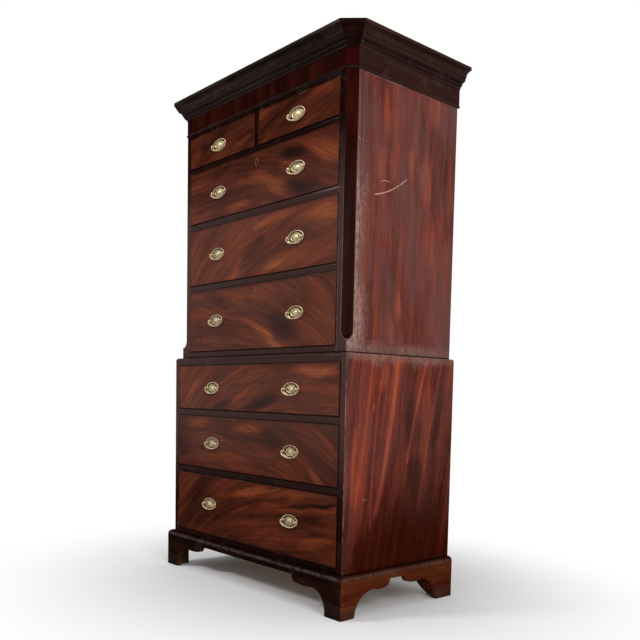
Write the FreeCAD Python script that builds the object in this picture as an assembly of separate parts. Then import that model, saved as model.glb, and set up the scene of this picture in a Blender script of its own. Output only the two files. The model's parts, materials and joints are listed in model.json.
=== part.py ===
import FreeCAD, Part

# Mahogany chest on chest. An upper chest with canted corners, frieze and cornice stands on
# a lower chest with bracket feet. Eight drawers slide in them, fourteen bails swing on their
# posts and six locks throw their bolts. Millimetres. X is to the right seen from the front,
# the front faces -Y and Z is up. The origin is on the floor, under the middle of the plan.
import math
import os

# ---- driving sizes: the two cases -------------------------------------------------------
lower_width = 1030.0
lower_depth = 522.0
upper_inset = 22.0          # the upper case stands in this far at each side
upper_setback = 19.0        # and its front this far behind the lower front
lower_side_t = 25.0
upper_side_t = 20.0
top_board_t = 12.0
top_board_round = 10.0
backboard_t = 12.0
backboard_rebate = 10.0     # how far the backboards are let into the sides
backboards_per_case = 4
backboard_joint = 0.6
rail_depth = 65.0
case_board_t = 18.0         # bottom boards, and the top of the upper case
dustboard_t = 9.0
runner_width = 45.0
kicker_t = 12.0
guide_height = 20.0
middle_runner = 70.0        # between the short drawers

# ---- driving sizes: levels, from the floor up -------------------------------------------
apron_z = 108.0             # underside of the apron between the feet
apron_height = 17.0
base_round = 18.0           # quarter-round of the base moulding
base_out = 21.0             # feet, apron and base moulding stand out this far
plinth_t = 20.0
bottom_rail_height = 16.0   # seen above the base moulding
lower_drawer_heights = (236.0, 205.0, 175.0)       # openings, the bottom drawer first
lower_rail_height = 23.5
lower_top_rail_height = 17.0
upper_bottom_rail_height = 23.0
upper_drawer_heights = (237.5, 218.0, 198.5)
upper_rail_height = 22.5
short_rail_height = 17.0    # under the two short drawers
short_drawer_height = 121.0
upper_top_rail_height = 13.0
bead_height = 9.0           # astragal under the frieze
bead_out = 4.0
bead_fillet = 1.5
bead_ease = 2.5             # height of each eased edge of the astragal
frieze_height = 54.0
frieze_t = 8.0
frieze_out = 1.0
cornice_height = 63.0
head_overhang = 8.0         # frieze and cornice run this far past the back

# ---- driving sizes: corner posts of the upper case --------------------------------------
post_width = 50.0
post_depth = 46.0
cant = 27.0                 # leg of the canted corner
tongue_stop = 45.0          # the lamb's tongue ends this far above the foot of the post
tongue_length = 41.0
tongue_nick = 1.8           # step where the cant ends and the tongue begins
tongue_swell = (0.62, 0.74)  # where its convex end meets its hollow: up, in
divider_width = 18.0        # upright between the short drawers

# ---- driving sizes: bracket feet --------------------------------------------------------
front_bracket = (78.0, 140.0, 250.0)    # width on the floor, cusp, end of the spur
side_bracket = (62.0, 152.0, 224.0)
rear_bracket = (86.0, 163.0, 246.0)
cusp_z = 84.0
lobe_drop = 4.0             # the spur's lobe hangs this far below the cusp
lobe_turn = (22.0, 25.0)    # its round end: length and height
toe_wear = 5.0              # worn inner corner of each foot
back_bracket_span = 125.0   # sloping bracket across the back of each rear foot
back_bracket_bow = 0.1
back_bracket_t = 18.0
back_bracket_set = 64.0     # its rear face from the back of the case
block_size = 42.0
block_lift = 3.0            # glue blocks stop short of the floor
bearer_width = 40.0

# ---- driving sizes: cornice members, out from the case and up from the frieze ------------
cornice_fillet = (3.5, 3.0)
cornice_splay = (8.5, 8.5)
cornice_bead = (12.5, 15.5)
cornice_soffit = (24.0, 19.0)
cornice_ovolo = (34.0, 33.0)
cornice_cavetto_foot = (36.5, 36.0)
cornice_cavetto_head = (46.5, 50.0)
cornice_fascia = (51.0, 52.0)
cornice_step = 1.5          # small vertical fillets between the members
cornice_block = 34.0
cornice_block_length = 70.0

# ---- driving sizes: drawers -------------------------------------------------------------
side_gap = 1.2              # each side of a drawer in its opening
run_gap = 0.3               # a drawer side above its runner
top_gap = 1.6
face_t = 1.5                # figured veneer
ground_t = 20.0
cockbead_t = 3.0
cockbead_out = 2.5
cockbead_in = 8.0
lining_t = 10.0             # drawer sides and back
drawer_bottom_t = 8.0
drawer_bottom_lift = 6.0
groove = 5.0
tail_length = 12.5
pin_tip = 5.0               # dovetail pins: narrow and wide end
pin_root = 9.5
tail_pitch = 80.0           # at least one dovetail for this height
back_set = 12.0             # drawer back from the ends of the sides
back_drop = 9.0             # drawer back below the drawer sides
space_behind = 55.0         # between a shut drawer and the backboards
stop_height = 4.5
stop_width = 50.0
stop_depth = 24.0
stop_inset = 130.0          # drawer stops in from the ends of the opening
stop_gap = 0.3

# ---- driving sizes: brasses -------------------------------------------------------------
oval_sides = 12             # the small brasses are many-sided, not round
post_sides = 8
rod_sides = 6
plate_half = (43.0, 22.5)   # oval plate, half length and half height
plate_t = 1.2
boss_half = (26.0, 14.5)    # raised middle of the plate, at its foot
boss_taper = 0.68           # size of its top over its foot
boss_height = 3.0
post_spread = 35.0          # post from the middle of the plate
post_across = 9.0           # flats of the post head
post_nose = 4.0             # post head beyond the pin
pin_y = 8.0                 # pin axis in front of the drawer face
shank = 4.0
nut = 12.0
nut_t = 3.0
pin_d = 3.0
pin_fit = 0.06              # radial, pin in its post
pin_length = 5.0
bail_rod = 4.6
bail_gap = 0.5              # bail rod beside the post head
bail_drop = 21.0
bail_shank = 5.6            # upright stretch under each pin, which clears the post head
bail_crown = 4.5            # radius of the bail's ends, which are rounded over the pins
bail_bends = 5              # straight stretches that the bow is made of
# The handles were fixed by eye. For each drawer: x of the left and of the right handle, and
# their height above the middle of the opening. The two short drawers share a line.
handle_places = {
    "lower_bottom": (-253.0, 246.0, 4.5), "lower_middle": (-240.0, 244.0, -1.5),
    "lower_top": (-242.0, 242.0, -1.7), "upper_bottom": (-251.0, 233.0, -1.0),
    "upper_middle": (-244.0, 229.0, 0.0), "upper_top": (-238.0, 227.0, -1.6),
    "short": (-239.0, 224.0, -3.0)}
escutcheon_half = (8.5, 13.5)
escutcheon_band = 2.2
escutcheon_t = 0.8
escutcheon_drop = 36.0      # its middle below the top of the drawer opening
lock_width = 60.0
lock_t = 10.0
lock_height = 44.0
bolt_width = 22.0
bolt_t = 5.0
bolt_length = 16.0
bolt_gap = 0.3
bolt_rest = 0.5             # top of the bolt below the top edge of the drawer
bolt_throw = 7.0
mortise_depth = 7.0
mortise_gap = 1.5

# ---- worked out from those --------------------------------------------------------------
V = FreeCAD.Vector
QUARTER = (math.sqrt(2) - 1) / 2        # rise of a quarter round over its chord


def stack(floor, heights, rail_height):
    """Floors of openings piled up with a rail between each two, and the top of the last."""
    floors = []
    for height in heights:
        floors.append(floor)
        floor += height + rail_height
    return floors, floor - rail_height


lower_half = lower_width / 2
upper_half = lower_half - upper_inset
lower_front = -(lower_depth + head_overhang + upper_setback - cornice_fascia[0]) / 2
upper_front = lower_front + upper_setback
back = lower_front + lower_depth
inner_back = back - backboard_t
lower_inside = lower_half - lower_side_t
upper_inside = upper_half - upper_side_t
upper_open = upper_half - post_width

case_bottom = apron_z + apron_height
lower_floors, lower_top_rail_z = stack(
    case_bottom + base_round + bottom_rail_height, lower_drawer_heights, lower_rail_height)
top_board_z = lower_top_rail_z + lower_top_rail_height
joint_z = top_board_z + top_board_t
upper_floors, short_rail_z = stack(
    joint_z + upper_bottom_rail_height, upper_drawer_heights, upper_rail_height)
short_floor = short_rail_z + short_rail_height
upper_top_rail_z = short_floor + short_drawer_height
bead_z = upper_top_rail_z + upper_top_rail_height
frieze_z = bead_z + bead_height
cornice_z = frieze_z + frieze_height
upper_top_z = cornice_z + case_board_t

front_t = face_t + ground_t
bolt_y = front_t - lock_t / 2
bail_half = post_spread + post_across / 2 + bail_gap + bail_rod / 2


# ---- plain shapes -----------------------------------------------------------------------
def box(x0, x1, y0, y1, z0, z1):
    return Part.makeBox(x1 - x0, y1 - y0, z1 - z0, V(x0, y0, z0))


def both_sides(shapes):
    """The left pieces and their mirror images on the right."""
    return shapes + [shape.mirror(V(0, 0, 0), V(1, 0, 0)) for shape in shapes]


def bow(a, b, rise):
    """Arc from a to b that rises to the left of its chord by this share of the chord."""
    return ((a[0] + b[0]) / 2 - (b[1] - a[1]) * rise,
            (a[1] + b[1]) / 2 + (b[0] - a[0]) * rise), b


def outline(steps, place):
    """Closed wire through flat points, which place puts in space. A pair of points in the
    list is an arc: its middle and its end."""
    edges, first = [], place(steps[0])
    at = first
    for step in steps[1:] + [steps[0]]:
        if isinstance(step[0], tuple):
            middle, end = place(step[0]), place(step[1])
            edges.append(Part.Arc(at, middle, end).toShape())
        else:
            end = place(step)
            if (end - at).Length > 0:
                edges.append(Part.LineSegment(at, end).toShape())
        at = end
    return Part.Wire(edges)


def prism(steps, place, run):
    return Part.Face(outline(steps, place)).extrude(run)


def frustum(foot, head):
    """Solid between two flat rings of as many points, one a copy or a smaller copy."""
    quads = zip(foot, foot[1:] + foot[:1], head[1:] + head[:1], head)
    rings = [list(quad) for quad in quads] + [foot, head]
    return Part.Solid(Part.Shell([Part.Face(Part.makePolygon(ring + ring[:1]))
                                  for ring in rings]))


def plan_prism(points, z0, z1):
    return prism([(p.x, p.y) for p in points], lambda q: V(q[0], q[1], z0), V(0, 0, z1 - z0))


def oval(half, sides):
    """Corners of a many-sided oval with an upright flat at each end."""
    turns = [math.tau * (i + 0.5) / sides for i in range(sides)]
    return [(half[0] * math.cos(a), half[1] * math.sin(a)) for a in turns]


def rod(across, sides):
    """Corners of a many-sided rod, as wide as this over its flats."""
    corner = across / 2 / math.cos(math.pi / sides)
    return oval((corner, corner), sides)


def save(name, shapes):
    """One node: each solid in it is a piece of its own."""
    solids = [solid for shape in shapes for solid in shape.Solids]
    Part.makeCompound(solids).exportStep("parts/%s.step" % name)


# ---- mouldings that run round a case ----------------------------------------------------
def plan(half, front, corner, rear):
    """A case's outline seen from above, from its back left to its back right."""
    left = [V(-half, rear, 0), V(-half, front + corner, 0)]
    if corner:
        left.append(V(-half + corner, front, 0))
    return left + [V(-p.x, p.y, 0) for p in reversed(left)]


def outward(path):
    runs = [(b - a).normalize() for a, b in zip(path, path[1:])]
    return [V(run.y, -run.x, 0) for run in runs]


def mitre(path, i):
    """Where corner i of the path goes for a step of 1 out from the case."""
    n = outward(path)
    if i in (0, len(n)):
        return n[min(i, len(n) - 1)]
    return (n[i - 1] + n[i]) * (1 / (1 + n[i - 1].dot(n[i])))


def moulding(path, profile):
    """A length of moulding along each side of the path, mitred to its neighbours. The
    profile's points are (out, z)."""
    flat = [p for q in profile for p in (q if isinstance(q[0], tuple) else [q])]
    outs, levels = [p[0] for p in flat], [p[1] for p in flat]
    low, high = min(outs) - 1, max(outs) + 1
    lengths = []
    for i, n in enumerate(outward(path)):
        a, b = path[i], path[i + 1]
        ma, mb = mitre(path, i), mitre(path, i + 1)
        run = (b - a).normalize() * high
        start, end = a - run, b + run
        bar = prism(profile, lambda q: start + n * q[0] + V(0, 0, q[1]), end - start)
        sector = [a + ma * low, a + ma * high, b + mb * high, b + mb * low]
        lengths.append(bar.common(plan_prism(sector, min(levels) - 1, max(levels) + 1)))
    return lengths


# ---- case joinery -----------------------------------------------------------------------
def side_board(half, thick, y0, z0, z1):
    """Left side of a case, rebated at the back for the backboards."""
    inner = -half + thick
    return box(-half, inner, y0, back, z0, z1).cut(
        box(inner - backboard_rebate, inner, inner_back, back, z0, z1))


def backboards(inside, z0, z1):
    left = -inside - backboard_rebate
    pitch = (backboard_joint - 2 * left) / backboards_per_case
    return [box(left + i * pitch, left + (i + 1) * pitch - backboard_joint,
                inner_back, back, z0, z1) for i in range(backboards_per_case)]


def rail(half, front, z0, z1):
    """Rail across the front over a long drawer, with the mortise for the drawer's bolt."""
    wide, thick, y = bolt_width / 2 + mortise_gap, bolt_t / 2 + mortise_gap, front + bolt_y
    return box(-half, half, front, front + rail_depth, z0, z1).cut(
        box(-wide, wide, y - thick, y + thick, z0, z0 + mortise_depth))


def guides(inside, front, floor, guide):
    """Strips that keep a drawer straight where the case is wider than the opening."""
    return both_sides([box(-inside, -inside + guide - side_gap / 2, front + rail_depth,
                           inner_back, floor, floor + guide_height)])


def level(inside, front, z0, z1, guide=0.0, middle=0.0):
    """Runners from the rail to the back, the dustboards between them, and the guides."""
    y0, edge = front + rail_depth, inside - guide - runner_width
    pieces = both_sides([box(-inside, -edge, y0, inner_back, z0, z1)])
    dust_z = (z0 + z1 - dustboard_t) / 2
    if middle:
        pieces.append(box(-middle / 2, middle / 2, y0, inner_back, z0, z1))
        pieces += both_sides([box(-edge, -middle / 2, y0, inner_back,
                                  dust_z, dust_z + dustboard_t)])
    else:
        pieces.append(box(-edge, edge, y0, inner_back, dust_z, dust_z + dustboard_t))
    return pieces + (guides(inside, front, z1, guide) if guide else [])


def kickers(inside, front, top, guide=0.0):
    """Strips over the topmost drawers, which stop them tipping when they are pulled out."""
    return both_sides([box(-inside, -inside + guide + runner_width, front + rail_depth,
                           inner_back, top, top + kicker_t)])


def stops(left, right, front, floor):
    """Two blocks glued on the rail, which the drawer front closes against."""
    y = front + front_t + stop_gap
    return [box(x - stop_width / 2, x + stop_width / 2, y, y + stop_depth,
                floor, floor + stop_height)
            for x in (left + stop_inset, right - stop_inset)]


# ---- lower chest ------------------------------------------------------------------------
def lower_case():
    front, inside, floors = lower_front, lower_inside, lower_floors
    tops = [floor + height for floor, height in zip(floors, lower_drawer_heights)]
    save("lower_sides", both_sides([side_board(lower_half, lower_side_t, front,
                                               case_bottom, top_board_z)]))
    board = box(-lower_half, lower_half, front, back, top_board_z, joint_z)
    upper_edges = [edge for edge in board.Edges
                   if all(vertex.Z > top_board_z for vertex in edge.Vertexes)
                   and any(vertex.Y < 0 for vertex in edge.Vertexes)]
    save("lower_top", [board.makeFillet(top_board_round, upper_edges)])
    save("lower_rails", [
        box(-inside, inside, front, front + rail_depth, case_bottom, floors[0]),
        rail(inside, front, tops[0], floors[1]), rail(inside, front, tops[1], floors[2]),
        rail(inside, front, tops[2], top_board_z)])
    linings = [box(-inside, inside, front + rail_depth, inner_back,
                   floors[0] - case_board_t, floors[0])]
    linings += level(inside, front, tops[0], floors[1])
    linings += level(inside, front, tops[1], floors[2])
    linings += kickers(inside, front, tops[2])
    for floor in floors:
        linings += stops(-inside, inside, front, floor)
    save("lower_linings", linings)
    save("lower_backboards", backboards(inside, case_bottom, top_board_z))


def bracket(width, cusp, end):
    """Outline of a foot's bracket: out from the corner, and up from the floor. A hollow
    rises to a cusp, then a lobe hangs and turns up to the apron."""
    turn = (end - lobe_turn[0], apron_z - lobe_turn[1])
    heel, peak = (width, toe_wear), (cusp, cusp_z)
    low = ((cusp + turn[0]) / 2, cusp_z - lobe_drop)
    return [(0, 0), (width - toe_wear, 0), heel, bow(heel, peak, QUARTER), (low, turn),
            bow(turn, (end, apron_z), -QUARTER), (end, case_bottom), (0, case_bottom)]


def mitred(foot, x, y, along_x):
    """Keep one side of the mitre between the two brackets of a left front foot."""
    far = plinth_t + max(front_bracket[2], side_bracket[2])
    end = V(x + far, y, 0) if along_x else V(x, y + far, 0)
    step = V(0, plinth_t, 0) if along_x else V(plinth_t, 0, 0)
    corner = V(x, y, 0)
    return foot.common(plan_prism([corner, end, end + step, corner + V(plinth_t, plinth_t, 0)],
                                  0, case_bottom))


def plinth():
    """Bracket feet, the apron between them, the base moulding and the blocks behind."""
    x, y = -lower_half - base_out, lower_front - base_out
    inner_x, inner_y = x + plinth_t, y + plinth_t
    front_foot = prism(bracket(*front_bracket), lambda q: V(x + q[0], y, q[1]),
                       V(0, plinth_t, 0))
    side_foot = prism(bracket(*side_bracket), lambda q: V(x, y + q[0], q[1]),
                      V(plinth_t, 0, 0))
    save("front_feet", both_sides([mitred(front_foot, x, y, True),
                                   mitred(side_foot, x, y, False)]))
    rear_foot = prism(bracket(*rear_bracket), lambda q: V(x, back - q[0], q[1]),
                      V(plinth_t, 0, 0))
    toe, head = (0, block_lift), (back_bracket_span, apron_z)
    slope = prism([(0, apron_z), toe, bow(toe, head, -back_bracket_bow)],
                  lambda q: V(inner_x + q[0], back - back_bracket_set, q[1]),
                  V(0, -back_bracket_t, 0))
    save("rear_feet", both_sides([rear_foot, slope]))

    apron_y = y + side_bracket[2], back - rear_bracket[2]
    apron_x = x + front_bracket[2]
    out = (base_out, case_bottom)
    crown = (base_out - base_round, case_bottom + base_round)
    save("base_moulding",
         moulding(plan(lower_half, lower_front, 0, back),
                  [(0, case_bottom), out, bow(out, crown, -QUARTER), (0, crown[1])])
         + [box(apron_x, -apron_x, y, inner_y, apron_z, case_bottom)]
         + both_sides([box(x, inner_x, *apron_y, apron_z, case_bottom)]))

    bearer = inner_x + bearer_width
    blocks = [box(inner_x, -inner_x, inner_y, inner_y + bearer_width, apron_z, case_bottom),
              box(bearer, -bearer, back - bearer_width, back, apron_z, case_bottom)]
    blocks += both_sides([box(inner_x, bearer, inner_y + bearer_width, back,
                              apron_z, case_bottom)])
    for block_y in (inner_y, back - back_bracket_set):
        blocks += both_sides([box(inner_x, inner_x + block_size, block_y,
                                  block_y + block_size, block_lift, apron_z)])
    save("plinth_blocks", blocks)


# ---- upper chest ------------------------------------------------------------------------
def corner_post():
    """Left post. Its outer corner is canted, and the cant ends below in a lamb's tongue."""
    inward, along = V(1, 1, 0).normalize(), V(1, -1, 0).normalize() * post_width
    corner = V(-upper_half, upper_front, 0) - along
    deep, foot = cant / math.sqrt(2), joint_z + tongue_stop
    head = (deep, foot + tongue_length)
    lip = (deep - tongue_nick, head[1])
    swell = (deep * tongue_swell[1], foot + tongue_length * tongue_swell[0])
    cutter = prism([(deep, upper_top_z), head, lip, bow(lip, swell, -QUARTER / 3),
                    bow(swell, (0, foot), QUARTER), (-deep, foot), (-deep, upper_top_z)],
                   lambda q: corner + inward * q[0] + V(0, 0, q[1]), along * 2)
    return box(-upper_half, -upper_half + post_width, upper_front, upper_front + post_depth,
               joint_z, upper_top_z).cut(cutter)


def upper_case():
    front, inside, floors = upper_front, upper_inside, upper_floors
    tops = [floor + height for floor, height in zip(floors, upper_drawer_heights)]
    guide = upper_inside - upper_open
    post_rear = front + post_depth
    head_plan = plan(upper_half, upper_front, cant, back + head_overhang)
    edge = frieze_out - frieze_t
    frieze = moulding(head_plan, [(edge, frieze_z), (frieze_out, frieze_z),
                                  (frieze_out, cornice_z), (edge, cornice_z)])

    def let_in(piece):
        """The frieze boards are let into whatever stands behind them."""
        for board in frieze:
            piece = piece.cut(board)
        return piece

    save("upper_sides", both_sides([let_in(side_board(
        upper_half, upper_side_t, post_rear, joint_z, upper_top_z))]))
    save("corner_posts", both_sides([let_in(corner_post())]))
    open_x = upper_open
    save("upper_rails", [
        box(-open_x, open_x, front, front + rail_depth, joint_z, floors[0]),
        rail(open_x, front, tops[0], floors[1]), rail(open_x, front, tops[1], floors[2]),
        rail(open_x, front, short_rail_z, short_floor),
        box(-divider_width / 2, divider_width / 2, front, front + rail_depth,
            short_floor, upper_top_rail_z),
        box(-open_x, open_x, front, front + rail_depth, upper_top_rail_z, frieze_z),
        let_in(box(-open_x, open_x, front, front + upper_side_t, frieze_z, upper_top_z))])

    linings = [box(-inside, inside, front + rail_depth, inner_back,
                   floors[0] - case_board_t, floors[0])]
    linings += guides(inside, front, floors[0], guide)
    linings += level(inside, front, tops[0], floors[1], guide)
    linings += level(inside, front, tops[1], floors[2], guide)
    linings += level(inside, front, short_rail_z, short_floor, guide, middle_runner)
    linings += kickers(inside, front, upper_top_rail_z, guide)
    half_middle = divider_width / 2
    linings.append(box(-half_middle, half_middle, front + rail_depth, inner_back,
                       short_floor, short_floor + guide_height))
    for floor in floors:
        linings += stops(-open_x, open_x, front, floor)
    linings += stops(-open_x, -half_middle, front, short_floor)
    linings += stops(half_middle, open_x, front, short_floor)
    linings.append(box(-open_x, open_x, front + upper_side_t, post_rear,
                       cornice_z, upper_top_z).fuse(
        box(-inside, inside, post_rear, inner_back, cornice_z, upper_top_z)).removeSplitter())
    block_top = upper_top_z + cornice_block
    for x in (-open_x / 2, 0, open_x / 2):
        linings.append(box(x - cornice_block_length / 2, x + cornice_block_length / 2,
                           front, front + cornice_block, upper_top_z, block_top))
    for y in (post_rear + cornice_block_length, inner_back - 2 * cornice_block_length):
        linings += both_sides([box(-upper_half, -upper_half + cornice_block, y,
                                   y + cornice_block_length, upper_top_z, block_top)])
    save("upper_linings", linings)
    save("upper_backboards", backboards(inside, joint_z, upper_top_z))

    bead = [(0, bead_z), (bead_fillet, bead_z), (bead_out, bead_z + bead_ease),
            (bead_out, frieze_z - bead_ease), (bead_fillet, frieze_z), (0, frieze_z)]
    save("frieze", frieze + moulding(head_plan, bead))
    save("cornice", moulding(head_plan, cornice_profile()))


def cornice_profile():
    """Fillet, splay and small ovolo, then a soffit, a large ovolo, a cavetto and a fascia."""
    def at(member, up=0.0):
        return member[0], cornice_z + member[1] + up

    bead_foot = at(cornice_splay, cornice_step)
    ovolo_foot = at(cornice_soffit, cornice_step)
    ovolo_head = at(cornice_ovolo)
    hollow_foot = at(cornice_cavetto_foot)
    hollow_head = at(cornice_cavetto_head)
    top = cornice_z + cornice_height
    return [(0, cornice_z), (cornice_fillet[0], cornice_z), at(cornice_fillet),
            at(cornice_splay), bead_foot,
            bow(bead_foot, at(cornice_bead), -QUARTER),
            (cornice_bead[0], at(cornice_soffit)[1]), at(cornice_soffit), ovolo_foot,
            bow(ovolo_foot, ovolo_head, -QUARTER), (hollow_foot[0], ovolo_head[1]),
            hollow_foot, bow(hollow_foot, hollow_head, QUARTER),
            (hollow_head[0], at(cornice_fascia)[1]), at(cornice_fascia),
            (cornice_fascia[0], top), (0, top)]


# ---- drawers ----------------------------------------------------------------------------
class Drawer:
    """One drawer: its opening in the case, and its own outer sizes inside that."""

    def __init__(self, name, front, left, right, floor, height, handles, handle_rise, locked):
        self.name, self.front = name, front
        self.left, self.right, self.floor, self.ceiling = left, right, floor, floor + height
        self.x0, self.x1 = left + side_gap, right - side_gap
        self.z0, self.z1 = floor + run_gap, floor + height - top_gap
        self.handles, self.locked = handles, locked
        self.handle_z = floor + height / 2 + handle_rise
        self.inner = front + front_t            # back of the drawer front
        self.rear = inner_back - space_behind
        self.lining_top = self.z1 - cockbead_t
        self.middle = (left + right) / 2


def all_drawers():
    found = []
    for case, front, half, floors, heights in (
            ("lower", lower_front, lower_inside, lower_floors, lower_drawer_heights),
            ("upper", upper_front, upper_open, upper_floors, upper_drawer_heights)):
        for place, floor, height in zip(("bottom", "middle", "top"), floors, heights):
            name = "%s_%s" % (case, place)
            *handles, rise = handle_places[name]
            found.append(Drawer(name + "_drawer", front, -half, half, floor, height, handles,
                                rise, True))
    *handles, rise = handle_places["short"]
    for side, sign, handle in zip(("left", "right"), (-1, 1), handles):
        ends = sorted((sign * divider_width / 2, sign * upper_open))
        found.append(Drawer("short_%s_drawer" % side, upper_front, *ends, short_floor,
                            short_drawer_height, (handle,), rise, False))
    return found


def drawer_side(d):
    """Left side, cut in front to half-blind dovetails."""
    count = math.ceil((d.lining_top - d.z0) / tail_pitch)
    pitch = (d.lining_top - d.z0) / count
    root, tip = (pitch - pin_root) / 2, (pitch - pin_tip) / 2
    steps = [(d.inner, d.z0)]
    for i in range(count):
        z = d.z0 + (i + 0.5) * pitch
        steps += [(d.inner, z - root), (d.inner - tail_length, z - tip),
                  (d.inner - tail_length, z + tip), (d.inner, z + root)]
    steps += [(d.inner, d.lining_top), (d.rear, d.lining_top), (d.rear, d.z0)]
    return prism(steps, lambda q: V(d.x0, q[0], q[1]), V(lining_t, 0, 0))


def cockbeads(d):
    """Four strips with eased noses, mitred round the front. The top one covers its edge."""
    nose, ease = d.front - cockbead_out, cockbead_t / 3

    def strip(a, b, deep):
        """Bead along the outer edge from a to b, its thickness to the left of the run."""
        run = (b - a).normalize()
        inward = V(-run.z, 0, run.x)
        steps = [(0, deep), (0, nose + ease), (ease, nose), (cockbead_t - ease, nose),
                 (cockbead_t, nose + ease), (cockbead_t, deep)]
        bar = prism(steps, lambda q: V(a.x, q[1], a.z) + inward * q[0], b - a)
        edge = inward * cockbead_t
        ends = [a, b, b - run * cockbead_t + edge, a + run * cockbead_t + edge]
        keep = prism([(p.x, p.z) for p in ends], lambda q: V(q[0], nose, q[1]),
                     V(0, deep - nose, 0))
        return bar.common(keep)

    corners = [V(d.x0, 0, d.z0), V(d.x1, 0, d.z0), V(d.x1, 0, d.z1), V(d.x0, 0, d.z1)]
    shallow = d.front + cockbead_in
    deeps = (shallow, shallow, d.inner, shallow)
    return [strip(a, b, deep) for a, b, deep in zip(corners, corners[1:] + corners[:1], deeps)]


def drawer_front(d):
    """Ground of the drawer front, stepped back for the cockbeads at three edges."""
    bead = cockbead_t
    seat = box(d.x0 + bead, d.x1 - bead, d.front + face_t, d.front + cockbead_in,
               d.z0 + bead, d.lining_top)
    return seat.fuse(box(d.x0, d.x1, d.front + cockbead_in, d.inner,
                         d.z0, d.lining_top)).removeSplitter()


def bolt_way(d):
    """Clear space for the bolt, through the lock and the top of the drawer front."""
    wide, thick, y = bolt_width / 2 + bolt_gap, bolt_t / 2 + bolt_gap, d.front + bolt_y
    low = d.z1 - bolt_rest - bolt_length - bolt_gap
    return box(d.middle - wide, d.middle + wide, y - thick, y + thick, low, d.z1)


def shanks(d):
    """Square shanks of the handle posts, through the drawer front and the nut behind."""
    half = shank / 2
    return [box(x + side * post_spread - half, x + side * post_spread + half,
                d.front - plate_t, d.inner + nut_t, d.handle_z - half, d.handle_z + half)
            for x in d.handles for side in (-1, 1)]


def wooden_parts(d):
    left = drawer_side(d)
    right = left.translated(V(d.x1 - d.x0 - lining_t, 0, 0))
    x0, x1 = d.x0 + lining_t - groove, d.x1 - lining_t + groove
    low, back_y = d.z0 + drawer_bottom_lift, d.rear - back_set
    bottom = box(x0, x1, d.inner - groove, back_y, low, low + drawer_bottom_t)
    rear = box(x0, x1, back_y - lining_t, back_y, low + drawer_bottom_t,
               d.lining_top - back_drop)
    ground = drawer_front(d).cut(left).cut(right).cut(bottom)
    left, right = (side.cut(bottom).cut(rear) for side in (left, right))
    veneer = box(d.x0 + cockbead_t, d.x1 - cockbead_t, d.front, d.front + face_t,
                 d.z0 + cockbead_t, d.lining_top)
    for hole in shanks(d):
        ground, veneer = ground.cut(hole), veneer.cut(hole)
    beads = cockbeads(d)
    if d.locked:
        way = bolt_way(d)
        ground = ground.cut(lock_block(d)).cut(way)
        beads = [bead.cut(way) for bead in beads]
    save(d.name + "_box", [ground, left, right, rear, bottom])
    save(d.name + "_face", [veneer] + beads)


# ---- brasses ----------------------------------------------------------------------------
def lock_block(d):
    return box(d.middle - lock_width / 2, d.middle + lock_width / 2, d.inner - lock_t, d.inner,
               d.lining_top - lock_height, d.lining_top)


def plate(d, x):
    """Stamped oval backplate with a raised middle."""
    def ring(half, y):
        return [V(x + q[0], y, d.handle_z + q[1]) for q in oval(half, oval_sides)]

    face = d.front - plate_t
    whole = frustum(ring(plate_half, d.front), ring(plate_half, face)).fuse(
        frustum(ring(boss_half, face),
                ring([half * boss_taper for half in boss_half], face - boss_height)))
    for hole in shanks(d):
        whole = whole.cut(hole)
    return whole


def posts(d):
    """Handle posts: a head bored for the bail's pin, a square shank and its nut behind."""
    made = []
    for stem in shanks(d):
        x = stem.CenterOfMass.x
        head = prism(rod(post_across, post_sides),
                     lambda q: V(x + q[0], d.front - plate_t, d.handle_z + q[1]),
                     V(0, plate_t - pin_y - post_nose, 0))
        bore = prism(rod(pin_d + 2 * pin_fit, rod_sides),
                     lambda q: V(x - post_across, d.front - pin_y + q[0], d.handle_z + q[1]),
                     V(2 * post_across, 0, 0))
        back_nut = box(x - nut / 2, x + nut / 2, d.inner, d.inner + nut_t,
                       d.handle_z - nut / 2, d.handle_z + nut / 2)
        made.append(head.fuse([stem, back_nut]).cut(bore).removeSplitter())
    return made


def escutcheon(d):
    """Oval thread of brass round the keyhole."""
    def disc(half):
        return prism(oval(half, oval_sides), lambda q: V(
            d.middle + q[0], d.front, d.ceiling - escutcheon_drop + q[1]), V(0, -escutcheon_t, 0))

    return disc(escutcheon_half).cut(disc([half - escutcheon_band for half in escutcheon_half]))


def bail(d, x):
    """Bowed rod. Its ends stand upright, are rounded over the pins and carry them. The
    pins' corners lie on the pin's diameter, so they turn clear of the flats of the bores."""
    y, z, half, drop = d.front - pin_y, d.handle_z, bail_rod / 2, bail_drop - bail_shank
    radius = (bail_half ** 2 + drop ** 2) / (2 * drop)
    swing = math.asin(bail_half / radius)
    route = [V(-bail_half, 0, 0)]
    for i in range(bail_bends + 1):
        turn = swing * (2 * i / bail_bends - 1)
        route.append(V(radius * math.sin(turn), 0, radius * (1 - math.cos(turn)) - bail_drop))
    route.append(V(bail_half, 0, 0))
    section = outline(rod(bail_rod, rod_sides), lambda q: route[0] + V(q[0], q[1], 0))
    whole = Part.makePolygon(route).makePipeShell([section], True, False, 1)

    deep = half / math.cos(math.pi / rod_sides)
    shoulder = math.sqrt(bail_crown ** 2 - deep ** 2)
    pin = oval((pin_d / 2, pin_d / 2), rod_sides)
    for side in (-1, 1):
        whole = whole.fuse([
            prism([(-deep, 0), (deep, 0), (deep, shoulder),
                   ((0, bail_crown), (-deep, shoulder))],
                  lambda q: V(side * bail_half - half, q[0], q[1]), V(bail_rod, 0, 0)),
            prism(pin, lambda q: V(side * bail_half, q[0], q[1]),
                  V(-side * (pin_length + bail_gap + half), 0, 0))])
    return whole.removeSplitter().translated(V(x, y, z))


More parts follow.
